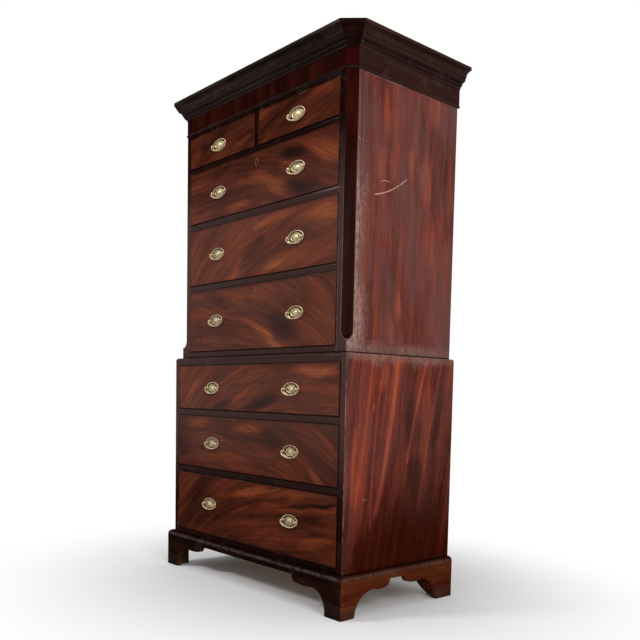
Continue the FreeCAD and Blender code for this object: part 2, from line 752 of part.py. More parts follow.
def brass_parts(d):
    brasses = [plate(d, x) for x in d.handles] + posts(d)
    if d.locked:
        brasses += [escutcheon(d), lock_block(d).cut(bolt_way(d))]
        y, top = d.front + bolt_y, d.z1 - bolt_rest
        save(d.name + "_bolt", [box(d.middle - bolt_width / 2, d.middle + bolt_width / 2,
                                    y - bolt_t / 2, y + bolt_t / 2, top - bolt_length, top)])
    save(d.name + "_brasses", brasses)
    for x in d.handles:
        end = "" if len(d.handles) == 1 else "_left" if x < 0 else "_right"
        save(d.name + "_bail" + end, [bail(d, x)])


os.makedirs("parts", exist_ok=True)
drawers = all_drawers()
lower_case()
plinth()
upper_case()
for one in drawers:
    wooden_parts(one)
    brass_parts(one)
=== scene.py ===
import json
import math
import bmesh
import bpy
from mathutils import Matrix, Vector

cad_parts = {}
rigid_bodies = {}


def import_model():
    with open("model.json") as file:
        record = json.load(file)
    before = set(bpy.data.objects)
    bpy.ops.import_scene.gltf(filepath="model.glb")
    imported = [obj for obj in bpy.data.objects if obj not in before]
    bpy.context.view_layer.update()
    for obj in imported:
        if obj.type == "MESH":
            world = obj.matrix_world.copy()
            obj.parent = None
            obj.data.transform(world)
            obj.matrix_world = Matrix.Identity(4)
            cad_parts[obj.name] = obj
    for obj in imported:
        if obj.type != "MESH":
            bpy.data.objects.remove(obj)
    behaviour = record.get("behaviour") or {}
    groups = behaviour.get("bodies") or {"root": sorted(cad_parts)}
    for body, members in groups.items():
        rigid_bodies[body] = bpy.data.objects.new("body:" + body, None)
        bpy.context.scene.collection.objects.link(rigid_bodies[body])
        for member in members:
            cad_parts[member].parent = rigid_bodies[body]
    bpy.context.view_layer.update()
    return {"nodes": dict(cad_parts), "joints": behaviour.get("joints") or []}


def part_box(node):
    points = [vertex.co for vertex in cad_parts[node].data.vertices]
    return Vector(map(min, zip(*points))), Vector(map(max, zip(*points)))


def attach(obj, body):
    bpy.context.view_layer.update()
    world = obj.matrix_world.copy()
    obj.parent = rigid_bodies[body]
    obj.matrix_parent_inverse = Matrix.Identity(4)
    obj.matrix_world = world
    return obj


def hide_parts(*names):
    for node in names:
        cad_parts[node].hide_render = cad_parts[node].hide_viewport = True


# A mahogany chest on chest: its woods, brasses, mouldings and light. Metres, in the frame's own
# axes: X to the right seen from the front, the front faces -Y, Z up.
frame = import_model()
nodes = frame["nodes"]

# ---- places from the frame ----
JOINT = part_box("upper_sides")[0].z      # where the upper chest stands on the lower one
UPPER_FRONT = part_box("corner_posts")[0].y
LOWER_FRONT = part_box("lower_sides")[0].y
LOWER_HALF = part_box("lower_sides")[1].x
FRIEZE_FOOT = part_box("frieze")[0].z

# ---- sizes that the looks need and the frame's boxes don't give ----
BACKBOARDS = 4              # upright boards in the back of each case
CANT = 0.027                # leg of the canted corner
POST_WIDE = 0.050
TONGUE_FOOT = 0.042         # foot of the cant's rounded end above the joint
TONGUE_LONG = 0.031         # from there to where it is full width
RUBBED_WIDE = 0.0022        # pale rubbed border round the faces of a post
FRIEZE_T = 0.008
FRIEZE_OUT = 0.001
BASE_MOULDING_HIGH = 0.018
BRACKET_LONG = 0.250        # front bracket foot, from the corner inwards
APRON_T = 0.020
ARRIS = 0.0007              # how far sharp edges are rubbed down
FINE_ARRIS = 0.0003
BOARD_ARRIS = 0.0002
BEAD = 0.003                # cockbead thickness
BEAD_OUT = 0.0025           # how far its nose stands out of the drawer front
BEAD_DEEP = 0.008
VENEER = 0.0015
TOP_GAP = 0.0016            # over a drawer
PLATE_HALF = (0.043, 0.0225)        # half lengths of the oval plate of a handle
BOSS_HALF = (0.026, 0.0145)         # and of the raised oval on it
POST_SPREAD = 0.035         # from the middle of a plate to the axis of a post
PIN_R = 0.0015              # pins at the ends of a bail
PIN_SHORT = 0.0005          # which end this far short of the axes of its posts
BAIL_HALF = 0.0423
BAIL_DROP = 0.021
BAIL_R = 0.0023
SHOULDER = (0.0022, 0.0016)         # round from the pin to the bail: across and down
NUT = 0.012
NUT_T = 0.003
LOCK = (0.060, 0.010, 0.044)        # width, depth and height of its case
THREAD_HALF = (0.0085, 0.0135)      # oval thread round the keyhole
THREAD_IN = 0.0011                  # its centre line is this far inside its outline
THREAD_DROP = 0.036                 # its middle below the top of the opening
KEYHOLE_R = 0.0019
KEYHOLE_UP = 0.003          # its round part above the thread's middle
KEYHOLE_T = 0.0003
SLOT_HALF = 0.0009
SLOT_DOWN = 0.006           # foot of its slot below the thread's middle
SLOT_FLARE = 1.5            # and how many times wider the slot is there
MERGE = 1e-6                # points this near are one
CAD_MERGE = 1e-5            # the same in a copy of a CAD piece
LEVEL = 1e-4                # no further out than this counts as level with a face
SHARP = math.radians(30)    # edges over this are rubbed down
SMOOTHED = math.radians(32)         # edges under this shade smooth
FLAT = math.radians(1)      # faces within this are one

# ---- light and camera ----
WHITE = (1.0, 1.0, 1.0)
WORLD_LIGHT = 0.50
KEY_LIGHT = 78.0            # watts
FILL_LIGHT = 75.0
EYE = (2.3013, -1.8951, 0.7178)
YAW, PITCH, ROLL = 0.8401, -0.0781, 0.0215
SENSOR = 36.0               # millimetres, as the lens
LENS = SENSOR * 1.2091
LENS_SHIFT = (-0.0210, 0.2109)


# ---- shader kit ----
class Value:
    """A socket. Arithmetic on it adds Math nodes."""

    def __init__(self, graph, socket):
        self.graph, self.socket = graph, socket

    def __add__(self, other):
        return self.graph.maths("ADD", self, other)

    def __sub__(self, other):
        return self.graph.maths("SUBTRACT", self, other)

    def __rsub__(self, other):
        return self.graph.maths("SUBTRACT", other, self)

    def __mul__(self, other):
        return self.graph.maths("MULTIPLY", self, other)

    def __truediv__(self, other):
        return self.graph.maths("DIVIDE", self, other)

    def __rtruediv__(self, other):
        return self.graph.maths("DIVIDE", other, self)

    def __abs__(self):
        return self.graph.maths("ABSOLUTE", self)

    __radd__ = __add__
    __rmul__ = __mul__


class Graph:
    """The nodes of a material or of the world."""

    def __init__(self, tree):
        self.tree = tree

    def node(self, kind, settings, inputs, out=0):
        """Add a node, set it up, then give its sockets values or links."""
        made = self.tree.nodes.new(kind)
        for key, value in settings.items():
            if key == "stops":
                while len(made.color_ramp.elements) < len(value):
                    made.color_ramp.elements.new(1.0)
                for stop, (place, colour) in zip(made.color_ramp.elements, value):
                    stop.position, stop.color = place, (*colour, 1.0)
            else:
                setattr(made, key, value)
        for key, value in inputs.items():
            self.put(made.inputs[key], value)
        return Value(self, made.outputs[out])

    def put(self, socket, value):
        if isinstance(value, Value):
            self.tree.links.new(value.socket, socket)
        elif isinstance(value, tuple) and len(value) == 3 and socket.type == "RGBA":
            socket.default_value = (*value, 1.0)
        else:
            socket.default_value = value

    def maths(self, operation, *terms, clamp=False):
        return self.node("ShaderNodeMath", {"operation": operation, "use_clamp": clamp},
                         dict(enumerate(terms)))

    def looked_at(self):
        """1 for what the camera, metal and glass see, and 0 for light on its way to the chest."""
        total = 0.0
        for ray in ("Is Camera Ray", "Is Glossy Ray", "Is Transmission Ray"):
            seen = self.node("ShaderNodeLightPath", {}, {}, ray)
            total = self.maths("ADD", seen, total, clamp=True)
        return total


class Finish(Graph):
    """A material built round one Principled shader."""

    def __init__(self, name, **uniform):
        self.material = bpy.data.materials.new(name)
        self.material.use_nodes = True
        super().__init__(self.material.node_tree)
        self.shader = self.tree.nodes["Principled BSDF"]
        self.show(**uniform)

    def show(self, **sockets):
        for socket, value in sockets.items():
            self.put(self.shader.inputs[socket.replace("_", " ")], value)
        return self.material

    def where(self):
        """Object coordinates."""
        return self.node("ShaderNodeTexCoord", {}, {}, "Object")

    def parts(self, where):
        """X, Y and Z of a point."""
        return [self.node("ShaderNodeSeparateXYZ", {}, {0: where}, i) for i in range(3)]

    def point(self, x, y, z):
        return self.node("ShaderNodeCombineXYZ", {}, {0: x, 1: y, 2: z})

    def noise(self, where, scale, detail, rough=0.55, bent=0.0):
        return self.node("ShaderNodeTexNoise", {}, {
            "Vector": where, "Scale": scale, "Detail": detail, "Roughness": rough,
            "Distortion": bent})

    def ease(self, value, low, high):
        """0 below low, 1 above high and smooth between, for low above high too."""
        return self.node("ShaderNodeMapRange", {"interpolation_type": "SMOOTHSTEP"}, {
            0: value, 1: low, 2: high, 3: 0.0, 4: 1.0})

    def larger(self, a, b):
        return self.maths("MAXIMUM", a, b)

    def tones(self, value, colours):
        """Runs through evenly spaced colours as the value goes from 0 to 1."""
        stops = [(i / (len(colours) - 1), colour) for i, colour in enumerate(colours)]
        return self.node("ShaderNodeValToRGB", {"stops": stops}, {0: value})

    def blend(self, share, a, b):
        return self.node("ShaderNodeMix", {"data_type": "RGBA"}, {0: share, 6: a, 7: b}, 2)

    def bump(self, height, depth, strength):
        return self.node("ShaderNodeBump", {}, {
            "Strength": strength, "Distance": depth, "Height": height})

    def cloud(self, where, at, half, turn=(0, 0, 0)):
        """1 in the middle of a soft ellipsoid and 0 outside it."""
        own = self.node("ShaderNodeMapping", {"vector_type": "TEXTURE"}, {
            "Vector": where, "Location": at, "Rotation": turn, "Scale": half})
        ball = self.node("ShaderNodeTexGradient", {"gradient_type": "SPHERICAL"}, {0: own}, 1)
        return self.ease(ball, 0.0, 0.75)

    def ribbon(self, along, across, a, b, sag, width):
        """1 on a curved line from a to b, which sags by this much, and 0 beside it."""
        share = (along - a[0]) / (b[0] - a[0])
        line = share * (b[1] - a[1]) - (share - share * share) * (4 * sag) + a[1]
        near = self.ease(abs(across - line), width, width * 0.25)
        return near * self.ease(share, 0.0, 0.06) * self.ease(share, 1.0, 0.94)


# ---- woods ----
WAXED = {"Coat_Roughness": 0.24, "Specular_IOR_Level": 0.0}
# the second is the pale of scuffed wood, which also paints highlights on the cockbeads and just
# under the joint
HAND_WORN, SCUFF_AND_HIGHLIGHT = (0.26, 0.185, 0.155), (0.17, 0.115, 0.095)
WIDTH, DEPTH, HEIGHT = 0, 1, 2      # the ways that grain runs: X, Y and Z
FLAME_TONES = [(0.01, 0.0026, 0.0016), (0.031, 0.007, 0.0036), (0.086, 0.018, 0.0078),
               (0.18, 0.04, 0.0135), (0.33, 0.093, 0.028)]


def hand_height(f, z):
    """Most polish where hands and cloths reach: 1 there, 0 at the head and at the feet. It also
    sets how much painted reflection, a greyish veil, goes into the colour.
    """
    return f.ease(z, 0.3, 0.62) * f.ease(z, 1.62, 1.3)


def joint_shadow_line(f, z):
    """1 in the dark line where the upper chest stands on the lower one: painted shadow under the
    upper case.
    """
    return f.ease(abs(z - (JOINT + 0.0022)), 0.0032, 0.0018)


def flame(name, seed, fan, glow, patches):
    """Flame veneer. Its grain fans out along the drawer: fan is the rise of the grain at the
    left end, in the middle and at the right end. Patches are lighter or darker clouds in it:
    their middle, half lengths, tilt and strength."""
    lo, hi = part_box(name + "_face")
    middle, half = (lo + hi) / 2, (hi.x - lo.x) / 2
    f = Finish(name + "_flame", **WAXED)
    where = f.where()
    x0, y, z0 = f.parts(where)
    x, z = x0 - middle.x, z0 - middle.z
    sway = f.noise(f.point(x, y, z * 1.5 + seed), 2.6, 1.0) - 0.5
    waver = f.noise(f.point(x, y, z * 2.0 - seed), 9.0, 1.0) - 0.5
    left, mid, right = fan
    u = x / half
    # the height of a grain line is its slope, integrated along the drawer
    rise = x * mid + u * x * ((right - left) / 4) + u * u * x * ((left + right - 2 * mid) / 6)
    flow = z - rise + sway * 0.055 + waver * 0.007
    along = x + sway * 0.1
    ribbons = f.noise(f.point(along * 1.4, seed, flow * 8.0), 2.4, 2.0, 0.5, 0.15)
    streaks = f.noise(f.point(along * 2.6, seed + 3.0, flow * 34.0), 2.6, 3.0, 0.62)
    fibre = f.noise(f.point(along * 9.0, seed + 7.0, flow * 190.0), 3.0, 2.0, 0.6)
    tone = f.ease(ribbons, 0.3, 0.7) * 0.26 + f.ease(streaks, 0.25, 0.75) * 0.21
    tone = tone + (fibre - 0.5) * 0.44 + (0.255 + glow)
    warped = f.point(x + sway * 0.1 + waver * 0.02, 0.0, z - rise * 0.25 + waver * 0.035)
    for at, size, tilt, strength in patches:
        patch = f.cloud(warped, (at[0], 0, at[1]), (size[0] * 1.3, 1, size[1] * 1.3),
                        (0, -math.atan(tilt), 0))
        tone = tone + patch * (strength * 0.8)
    colour = f.tones(tone, FLAME_TONES)
    fade_and_veil_patches = f.ease(f.noise(f.point(x, y, z * 2.0 + seed), 5.0, 3.0), 0.35, 0.75)
    height = hand_height(f, z0)
    # a faint fade in patches everywhere, and at hand height a painted reflection: the colour
    # blended towards a greyish veil
    colour = f.blend(fade_and_veil_patches * 0.03 + height * (fade_and_veil_patches * 0.1 + 0.14), colour, (0.1, 0.05, 0.042))
    pores = f.ease(f.noise(f.point(along * 40.0, seed, flow * 800.0), 3.0, 2.0), 0.56, 0.72)
    colour = f.blend(pores * 0.3, colour, (0.014, 0.006, 0.005))
    smear = f.noise(where, 9.0, 3.0)
    return f.show(Base_Color=colour, Roughness=0.38 + smear * 0.14,
                  Coat_Weight=height * 0.12 + smear * 0.03,
                  Normal=f.bump(fibre * 0.5 + smear, 0.0006, 0.12))


def straight_grain(name, tones, along, seed, polish=0.5, wear_and_highlight=0.0, rough=0.42, sheen=0.01,
                   lip=None, tipped=None, handled=0.0, boards=None):
    """Plain wood with its grain along one axis. Polish is how much it shines at hand height, in
    its coat and in a painted reflection, a greyish veil blended into its colour there, and sheen
    how much it does everywhere. A lip is rubbed pale: how far out from the lower case that starts
    and is full. Tipped is the height of the joint where a new tip was let in, and how much paler
    the tip is. Handled is how far hands have rubbed it pale at and below hand height. Boards are
    where the first one starts and the width of each, where each has its own grain."""
    f = Finish(name, **WAXED)
    where = f.where()
    parts = f.parts(where)
    x, y, z = parts
    stretch = [24.0, 24.0, 24.0]
    stretch[along] = 1.5
    sway = f.noise(where, 2.4, 2.0) - 0.5
    shift = sway * 0.8 + seed
    if boards:
        count = (x - boards[0]) / boards[1]
        shift = shift + f.maths("FLOOR", count) * 7.3
    grain = f.point(*(p * s + shift for p, s in zip(parts, stretch)))
    broad = f.noise(grain, 0.8, 3.0, 0.55, 0.3)
    fine = f.noise(grain, 6.0, 3.0, 0.62)
    colour = f.tones(f.ease(broad, 0.28, 0.72) * 0.6 + fine * 0.4, tones)
    # pale patches: wear, which on the cockbead also paints a highlight
    rubbed = f.ease(f.noise(where, 16.0, 4.0, 0.62), 0.52, 0.72) * wear_and_highlight
    # a pale line just under the joint: wear, and a painted highlight on the top edge of the lower
    # case
    ledge_wear_and_highlight = f.ease(abs(z - (JOINT - 0.0012)), 0.0016, 0.0006)
    rubbed = rubbed + ledge_wear_and_highlight * f.ease(f.noise(where, 30.0, 3.0), 0.3, 0.6) * 0.5
    if tipped:
        rubbed = rubbed + f.ease(z, tipped[0] + 0.001, tipped[0]) * tipped[1]
    if lip:
        out = f.larger(abs(x) - LOWER_HALF, LOWER_FRONT - y)
        patchy = f.ease(f.noise(where, 55.0, 4.0, 0.65), 0.34, 0.62)
        rubbed = rubbed + f.ease(out, *lip) * (patchy * 0.3 + 0.06)
    if handled:
        patchy = f.ease(f.noise(where, 60.0, 4.0, 0.65), 0.34, 0.58) * 0.8 + 0.2
        rubbed = rubbed + f.ease(z, 1.5, 1.15) * patchy * handled
    colour = f.blend(rubbed, colour, HAND_WORN if handled else SCUFF_AND_HIGHLIGHT)
    height = hand_height(f, z)
    # painted reflection: a greyish veil over the colour at hand height, more for more polish
    colour = f.blend(height * (0.5 * polish), colour, (0.104, 0.052, 0.044))
    pores = f.ease(f.noise(grain, 22.0, 2.0), 0.6, 0.72)
    # dark seams between boards and at a tip's joint, and the painted shadow line where the upper
    # case stands on the lower one
    seams_and_joint_shadow = joint_shadow_line(f, z)
    if tipped:
        seams_and_joint_shadow = seams_and_joint_shadow + f.ease(abs(z - tipped[0]), 0.0014, 0.0005) * 0.8
    if boards:
        across = f.maths("FRACT", count)
        seams_and_joint_shadow = seams_and_joint_shadow + f.ease(abs(across - 0.5), 0.49, 0.497)
    colour = f.blend(pores * 0.3 + seams_and_joint_shadow, colour, tuple(0.4 * c for c in tones[0]))
    return f.show(Base_Color=colour, Roughness=rough + fine * 0.12,
                  Coat_Weight=height * (0.15 * polish) + sheen,
                  Normal=f.bump(fine - pores * 0.6, 0.0005, 0.18))


PANEL_TONES = [(0.01, 0.0012, 0.0004), (0.046, 0.0066, 0.0026), (0.132, 0.0245, 0.015),
               (0.26, 0.047, 0.021), (0.42, 0.082, 0.032)]


def side_panel(name, seed, slant, soft, glows, veins, marks, shade, coat_and_painted_veil, rim, strip):
    """Solid side board with upright grain that leans back by slant. Glows are red or dark clouds
    in it: middle, half lengths, tilt and strength. Veins are bands along the grain and marks are
    pale scratches: two ends, sag, half width and strength. Shade is painted shade: it darkens the
    board from one height down to another. Above that the next setting blends a painted
    reflection, a pinkish-grey veil, into the colour, and sets the coat. Rim is where its front
    and top arrises and the corner are, which are rubbed pale, and strip how far a painted
    highlight along the front arris, broken up like wear, spreads inwards."""
    f = Finish(name, **WAXED)
    where = f.where()
    x, y, z = f.parts(where)
    sway = f.noise(f.point(x * 0.2, y * 1.6, z * 0.8 + seed), 3.0, 2.0) - 0.5
    lean = y - z * slant + sway * 0.06
    bands = f.noise(f.point(seed, lean * 15.0, z * 1.4 + sway), 1.5, 2.0, 0.5, 0.15)
    streaks = f.noise(f.point(seed + 4.0, lean * 55.0, z * 3.2), 1.6, 3.0, 0.62)
    fibre = f.noise(f.point(seed, lean * 110.0, z * 7.0), 1.6, 4.0, 0.72)
    mottle = f.noise(f.point(seed, y, z * 0.7), 42.0, 4.0, 0.7)
    tone = f.ease(bands, 0.3, 0.7) * (0.3 * soft) + f.ease(streaks, 0.3, 0.72) * 0.17
    tone = tone + (fibre - 0.5) * 0.5 + (mottle - 0.5) * 0.24 + (0.455 - 0.17 * soft)
    warped = f.point(0.0, y + sway * 0.05, z + sway * 0.1)
    for at, size, tilt, strength in glows:
        glow = f.cloud(warped, (0, *at), (1, size[0] * 1.4, size[1] * 1.4), (tilt, 0, 0))
        tone = tone + glow * strength
    for a, b, sag, width, strength in veins:
        tone = tone + f.ribbon(z, y + sway * 0.02, a, b, sag, width) * strength
    # painted shade: darker from one height down to another
    low = f.ease(z, *shade)
    colour = f.tones(tone - low * (tone * 0.55 - 0.02), PANEL_TONES)
    dull = f.ease(f.noise(f.point(x, y * 1.5, z * 0.6 + seed), 4.0, 5.0, 0.65), 0.36, 0.64)
    # painted reflection: a pinkish-grey veil over the colour above the shaded part
    colour = f.blend((1 - low) * (dull * 0.9 + 0.1) * coat_and_painted_veil, colour, (0.15, 0.07, 0.064))
    patchy = f.noise(f.point(x, y * 1.3, z * 0.6), 95.0, 4.0, 0.7)
    # painted highlight: a pale strip along the front arris that fades inwards, broken up like
    # wear; near the joint the knocks are wear
    edge = f.ease(y + dull * 0.05, rim[0] + 0.085, rim[0]) * f.ease(z, 1.66, 1.4) * strip
    knocked = f.ease(abs(z - JOINT) + dull * 0.03, 0.06, 0.006) * 0.3
    edge = f.larger(edge, knocked) * (f.ease(patchy, 0.36, 0.62) * 0.7 + 0.3)
    colour = f.blend(edge, colour, (0.46, 0.34, 0.3))
    arris = f.larger(f.ease(abs(y - rim[0]), 0.004, 0.0012),
                     f.ease(z, rim[1] - 0.0045, rim[1] - 0.001))
    arris = f.larger(arris, f.ease(y, rim[2] + 0.0045, rim[2] + 0.001))
    spread = f.ease(f.noise(where, 11.0, 2.0), 0.4, 0.6) * 0.8 + 0.2
    scratches_and_sheen_band = arris * spread * f.ease(patchy, 0.4, 0.54) * 0.4
    for a, b, sag, width, strength in marks:
        broken = f.ease(patchy, 0.36, 0.5) * 0.7 + 0.3
        scratches_and_sheen_band = f.ribbon(y, z, a, b, sag, width) * broken * strength + scratches_and_sheen_band
    flecks = f.ease(f.noise(f.point(x, y * 1.2, z * 0.6), 120.0, 3.0, 0.7), 0.66, 0.74)
    flecks = flecks * f.ease(f.noise(where, 7.0, 2.0), 0.46, 0.62)
    scratches_and_sheen_band = scratches_and_sheen_band + flecks * 0.2
    # pale scratches, rubbed arrises and flecks, and the painted sheen of the wide bands among the
    # marks
    colour = f.blend(scratches_and_sheen_band, colour, (0.55, 0.34, 0.27))
    # painted shadow in the joint under the upper case
    colour = f.blend(joint_shadow_line(f, z) * 0.9, colour, (0.01, 0.003, 0.002))
    return f.show(Base_Color=colour, Roughness=0.4 + dull * 0.14,
                  Coat_Weight=(1 - low) * (1 - edge * 0.5) * (coat_and_painted_veil * 0.3),
                  Normal=f.bump(fibre * 0.6 - scratches_and_sheen_band, 0.0006, 0.2))


def aged_brass(name, tint, stain, soiled):
    """Pale old brass, stained in clouds and speckled."""
    f = Finish(name, Metallic=1.0)
    where = f.where()
    cloud = f.noise(where, 90.0, 4.0, 0.65)
    speck = f.ease(f.noise(where, 600.0, 2.0), 0.6, 0.74)
    stained = f.ease(cloud, 0.62, 0.36) * soiled
    colour = f.blend(stained + speck * 0.12, tint, stain)
    return f.show(Base_Color=colour, Roughness=0.26 + cloud * 0.18 + stained * 0.1,
                  Normal=f.bump(cloud, 0.0003, 0.3))


def old_iron(name):
    """Dark iron with patches of rust."""
    f = Finish(name, Metallic=0.85)
    where = f.where()
    rust = f.ease(f.noise(where, 120.0, 4.0, 0.7), 0.48, 0.68)
    colour = f.blend(rust, (0.1, 0.095, 0.09), (0.11, 0.05, 0.025))
    return f.show(Base_Color=colour, Roughness=0.42 + rust * 0.35,
                  Normal=f.bump(rust, 0.0002, 0.3))


def keyhole_shade():
    """Painted shade for the inside of a keyhole: near black and faintly mottled."""
    f = Finish("keyhole_shade", Specular_IOR_Level=0.1)
    where = f.where()
    shade_mottle = f.noise(where, 400.0, 2.0)
    return f.show(Base_Color=f.blend(shade_mottle, (0.004, 0.003, 0.003), (0.012, 0.008, 0.006)),
                  Roughness=0.8 + shade_mottle * 0.1)


DARK = [(0.003, 0.001, 0.0008), (0.009, 0.0028, 0.002), (0.024, 0.0075, 0.005)]
DARK_RED = [(0.006, 0.0012, 0.0009), (0.016, 0.0024, 0.0015), (0.044, 0.006, 0.003)]
CANT_RED = [(0.003, 0.0006, 0.0006), (0.016, 0.0021, 0.0016), (0.06, 0.007, 0.0042)]
BLOOD_RED = [(0.008, 0.0007, 0.0007), (0.034, 0.0024, 0.0026), (0.11, 0.0075, 0.0065)]
# grey-brown tones for the front of the cornice and frieze bead, lighter than their wood: a
# painted sheen
PAINTED_SHEEN_TONES = [(0.006, 0.0026, 0.0022), (0.018, 0.0088, 0.0078), (0.05, 0.027, 0.023)]
BROWN = [(0.016, 0.004, 0.002), (0.058, 0.011, 0.004), (0.15, 0.034, 0.009)]
DUSKY = [(0.014, 0.006, 0.005), (0.032, 0.013, 0.01), (0.06, 0.026, 0.02)]
OAK = [(0.19, 0.098, 0.045), (0.31, 0.175, 0.082), (0.43, 0.265, 0.135)]
GROUND = [(0.085, 0.036, 0.017), (0.15, 0.066, 0.03), (0.24, 0.12, 0.055)]
PINE = [(0.17, 0.076, 0.034), (0.29, 0.142, 0.064), (0.4, 0.225, 0.11)]
GRIMY = [(0.02, 0.012, 0.008), (0.045, 0.028, 0.018), (0.09, 0.06, 0.04)]
LIP = (0.0165, 0.0205)      # of the base moulding: where its pale wear starts and is full

rail_wood = straight_grain("rail_wood", DARK, WIDTH, 1.0, 0.6, 0.06)
stile_wood = straight_grain("stile_wood", DARK, HEIGHT, 2.0, 0.85, 0.12)
worn_edge_wood = straight_grain("worn_edge_wood", DARK, HEIGHT, 2.0, 0.85, 0.12, handled=0.9)
cant_wood = straight_grain("cant_wood", CANT_RED, HEIGHT, 3.0, 0.1)
# the cornice's front faces take lighter, greyer tones than its cant: a painted sheen on the front
cornice_wood = straight_grain("cornice_wood", PAINTED_SHEEN_TONES, WIDTH, 4.0, 0.2, 0.08, sheen=0.05)
cornice_side_wood = straight_grain("cornice_side_wood", DUSKY, DEPTH, 4.5, 0.2, 0.12, sheen=0.06)
cornice_cant_wood = straight_grain("cornice_cant_wood", DARK, WIDTH, 4.8, 0.2)
crossband = straight_grain("crossband", DARK_RED, HEIGHT, 5.0, 0.2)
frieze_cant_wood = straight_grain("frieze_cant_wood", BLOOD_RED, HEIGHT, 5.5, 0.2)
frieze_side_wood = straight_grain("frieze_side_wood", DUSKY, DEPTH, 6.0, 0.2, 0.12)
# front faces of the feet and apron take darker tones than their sides: a darker finish, and
# painted shade on the front
plinth_front_wood = straight_grain("plinth_front_wood", DARK, WIDTH, 7.0, 0.15, 0.06,
                                   tipped=(0.05, 0.05))
plinth_side_wood = straight_grain("plinth_side_wood", BROWN, DEPTH, 8.0, 0.2, 0.1,
                                  tipped=(0.046, 0.07))
# the moulding's front also takes darker tones than its sides: a darker finish, and painted shade
# on the front
moulding_wood = straight_grain("moulding_wood", DARK, WIDTH, 9.0, 0.3, 0.1, lip=LIP)
moulding_side_wood = straight_grain("moulding_side_wood", BROWN, DEPTH, 9.5, 0.3, 0.2, lip=LIP)
# the bead is rubbed pale in patches: wear, and a painted highlight along its nose
bead_wood = straight_grain("bead_wood", BROWN, WIDTH, 10.0, 0.9, 0.55)
# dark wood on the cockbead's flanks and lower strip: painted shade in the gaps round a drawer,
# with dirt
grime_and_gap_shade_wood = straight_grain("grime_and_gap_shade_wood", DARK, WIDTH, 10.5, 0.0)
oak = straight_grain("oak", OAK, DEPTH, 11.0, 0.0, rough=0.62)
ground_wood = straight_grain("ground_wood", GROUND, WIDTH, 12.0, 0.0, rough=0.6)
grimy_pine = straight_grain("grimy_pine", GRIMY, WIDTH, 15.0, 0.0, 0.1, rough=0.75)
upper_panel = side_panel(
    "upper_panel", seed=2.0, slant=0.015, soft=0.8,
    glows=[
        ((-0.074, 1.62), (0.02, 0.07), 0.05, 0.28), ((-0.103, 1.45), (0.016, 0.06), 0, 0.26),
        ((-0.04, 1.47), (0.018, 0.06), 0, 0.22), ((0.047, 1.495), (0.014, 0.055), 0, 0.28),
        ((0.16, 1.68), (0.03, 0.06), 0.1, 0.28), ((0.126, 1.45), (0.026, 0.09), 0, 0.26),
        ((0.005, 1.025), (0.018, 0.06), 0, 0.36), ((0.18, 1.24), (0.05, 0.12), 0, 0.14),
        ((-0.03, 0.935), (0.014, 0.06), 0, 0.2), ((0.1, 1.6), (0.016, 0.09), 0, -0.26),
        ((-0.06, 1.1), (0.04, 0.12), 0, -0.12), ((0.215, 1.5), (0.022, 0.11), 0, -0.12)],
    veins=[],
    marks=[
        ((-0.124, 1.358), (0.03, 1.436), 0.012, 0.0026, 1.3),
        ((-0.095, 1.404), (-0.053, 1.408), -0.004, 0.0016, 0.8),
        ((-0.178, 1.329), (-0.14, 1.3), -0.004, 0.0012, 0.5),
        ((-0.15, 0.893), (0.01, 0.895), 0.001, 0.001, 0.22),
        ((-0.2, 1.52), (-0.176, 1.512), 0.001, 0.0014, 0.8),
        ((-0.112, 0.89), (-0.106, 0.972), 0.0, 0.009, 0.35),
        # the last mark is a wide pale band over the joint: a painted sheen, not a scratch
        ((-0.25, 0.868), (0.29, 0.868), 0.0, 0.03, 0.09)],
    shade=(0.6, 0.5), coat_and_painted_veil=0.55, rim=(UPPER_FRONT + CANT, FRIEZE_FOOT, UPPER_FRONT), strip=0.8)
lower_panel = side_panel(
    "lower_panel", seed=5.0, slant=0.13, soft=1.0,
    glows=[
        ((-0.08, 0.775), (0.02, 0.05), -0.15, 0.28), ((-0.17, 0.36), (0.05, 0.11), 0, 0.2),
        ((0.055, 0.63), (0.022, 0.12), -0.1, -0.26), ((0.075, 0.42), (0.035, 0.07), 0, -0.2),
        ((0.17, 0.33), (0.03, 0.09), -0.1, -0.16), ((0.2, 0.66), (0.03, 0.1), -0.1, -0.12),
        ((0.2, 0.46), (0.08, 0.28), -0.1, -0.14), ((0.02, 0.28), (0.14, 0.1), 0, -0.1)],
    veins=[
        ((0.3, -0.11), (0.85, -0.012), -0.012, 0.014, 0.34),
        ((0.48, 0.036), (0.85, 0.132), 0.004, 0.011, 0.3),
        ((0.26, -0.124), (0.78, -0.09), 0.01, 0.009, 0.26),
        ((0.34, -0.2), (0.85, -0.13), -0.006, 0.01, 0.2),
        ((0.6, 0.16), (0.85, 0.205), 0.0, 0.009, 0.18),
        ((0.3, 0.1), (0.74, 0.178), 0.004, 0.008, 0.14),
        ((0.24, -0.222), (0.62, -0.205), 0.0, 0.01, 0.2)],
    marks=[
        ((-0.166, 0.383), (-0.146, 0.378), 0.003, 0.0014, 0.5),
        ((-0.124, 0.67), (-0.119, 0.69), 0.0, 0.006, 0.5),
        # the last mark is a wide pale band over the joint: a painted sheen, not a scratch
        ((-0.27, 0.842), (0.3, 0.842), 0.0, 0.02, 0.08)],
    shade=(0.56, 0.17), coat_and_painted_veil=0.22, rim=(LOWER_FRONT, JOINT, LOWER_FRONT), strip=0.12)
brass = aged_brass("old_brass", (0.62, 0.48, 0.31), (0.22, 0.165, 0.08), 0.6)
field_brass = aged_brass("field_brass", (0.34, 0.28, 0.13), (0.1, 0.08, 0.035), 0.9)
grimy_brass = aged_brass("grimy_brass", (0.075, 0.052, 0.028), (0.02, 0.012, 0.007), 0.9)
thread_brass = aged_brass("thread_brass", (0.17, 0.1, 0.07), (0.07, 0.04, 0.026), 0.8)
iron = old_iron("lock_iron")
hole_shade = keyhole_shade()


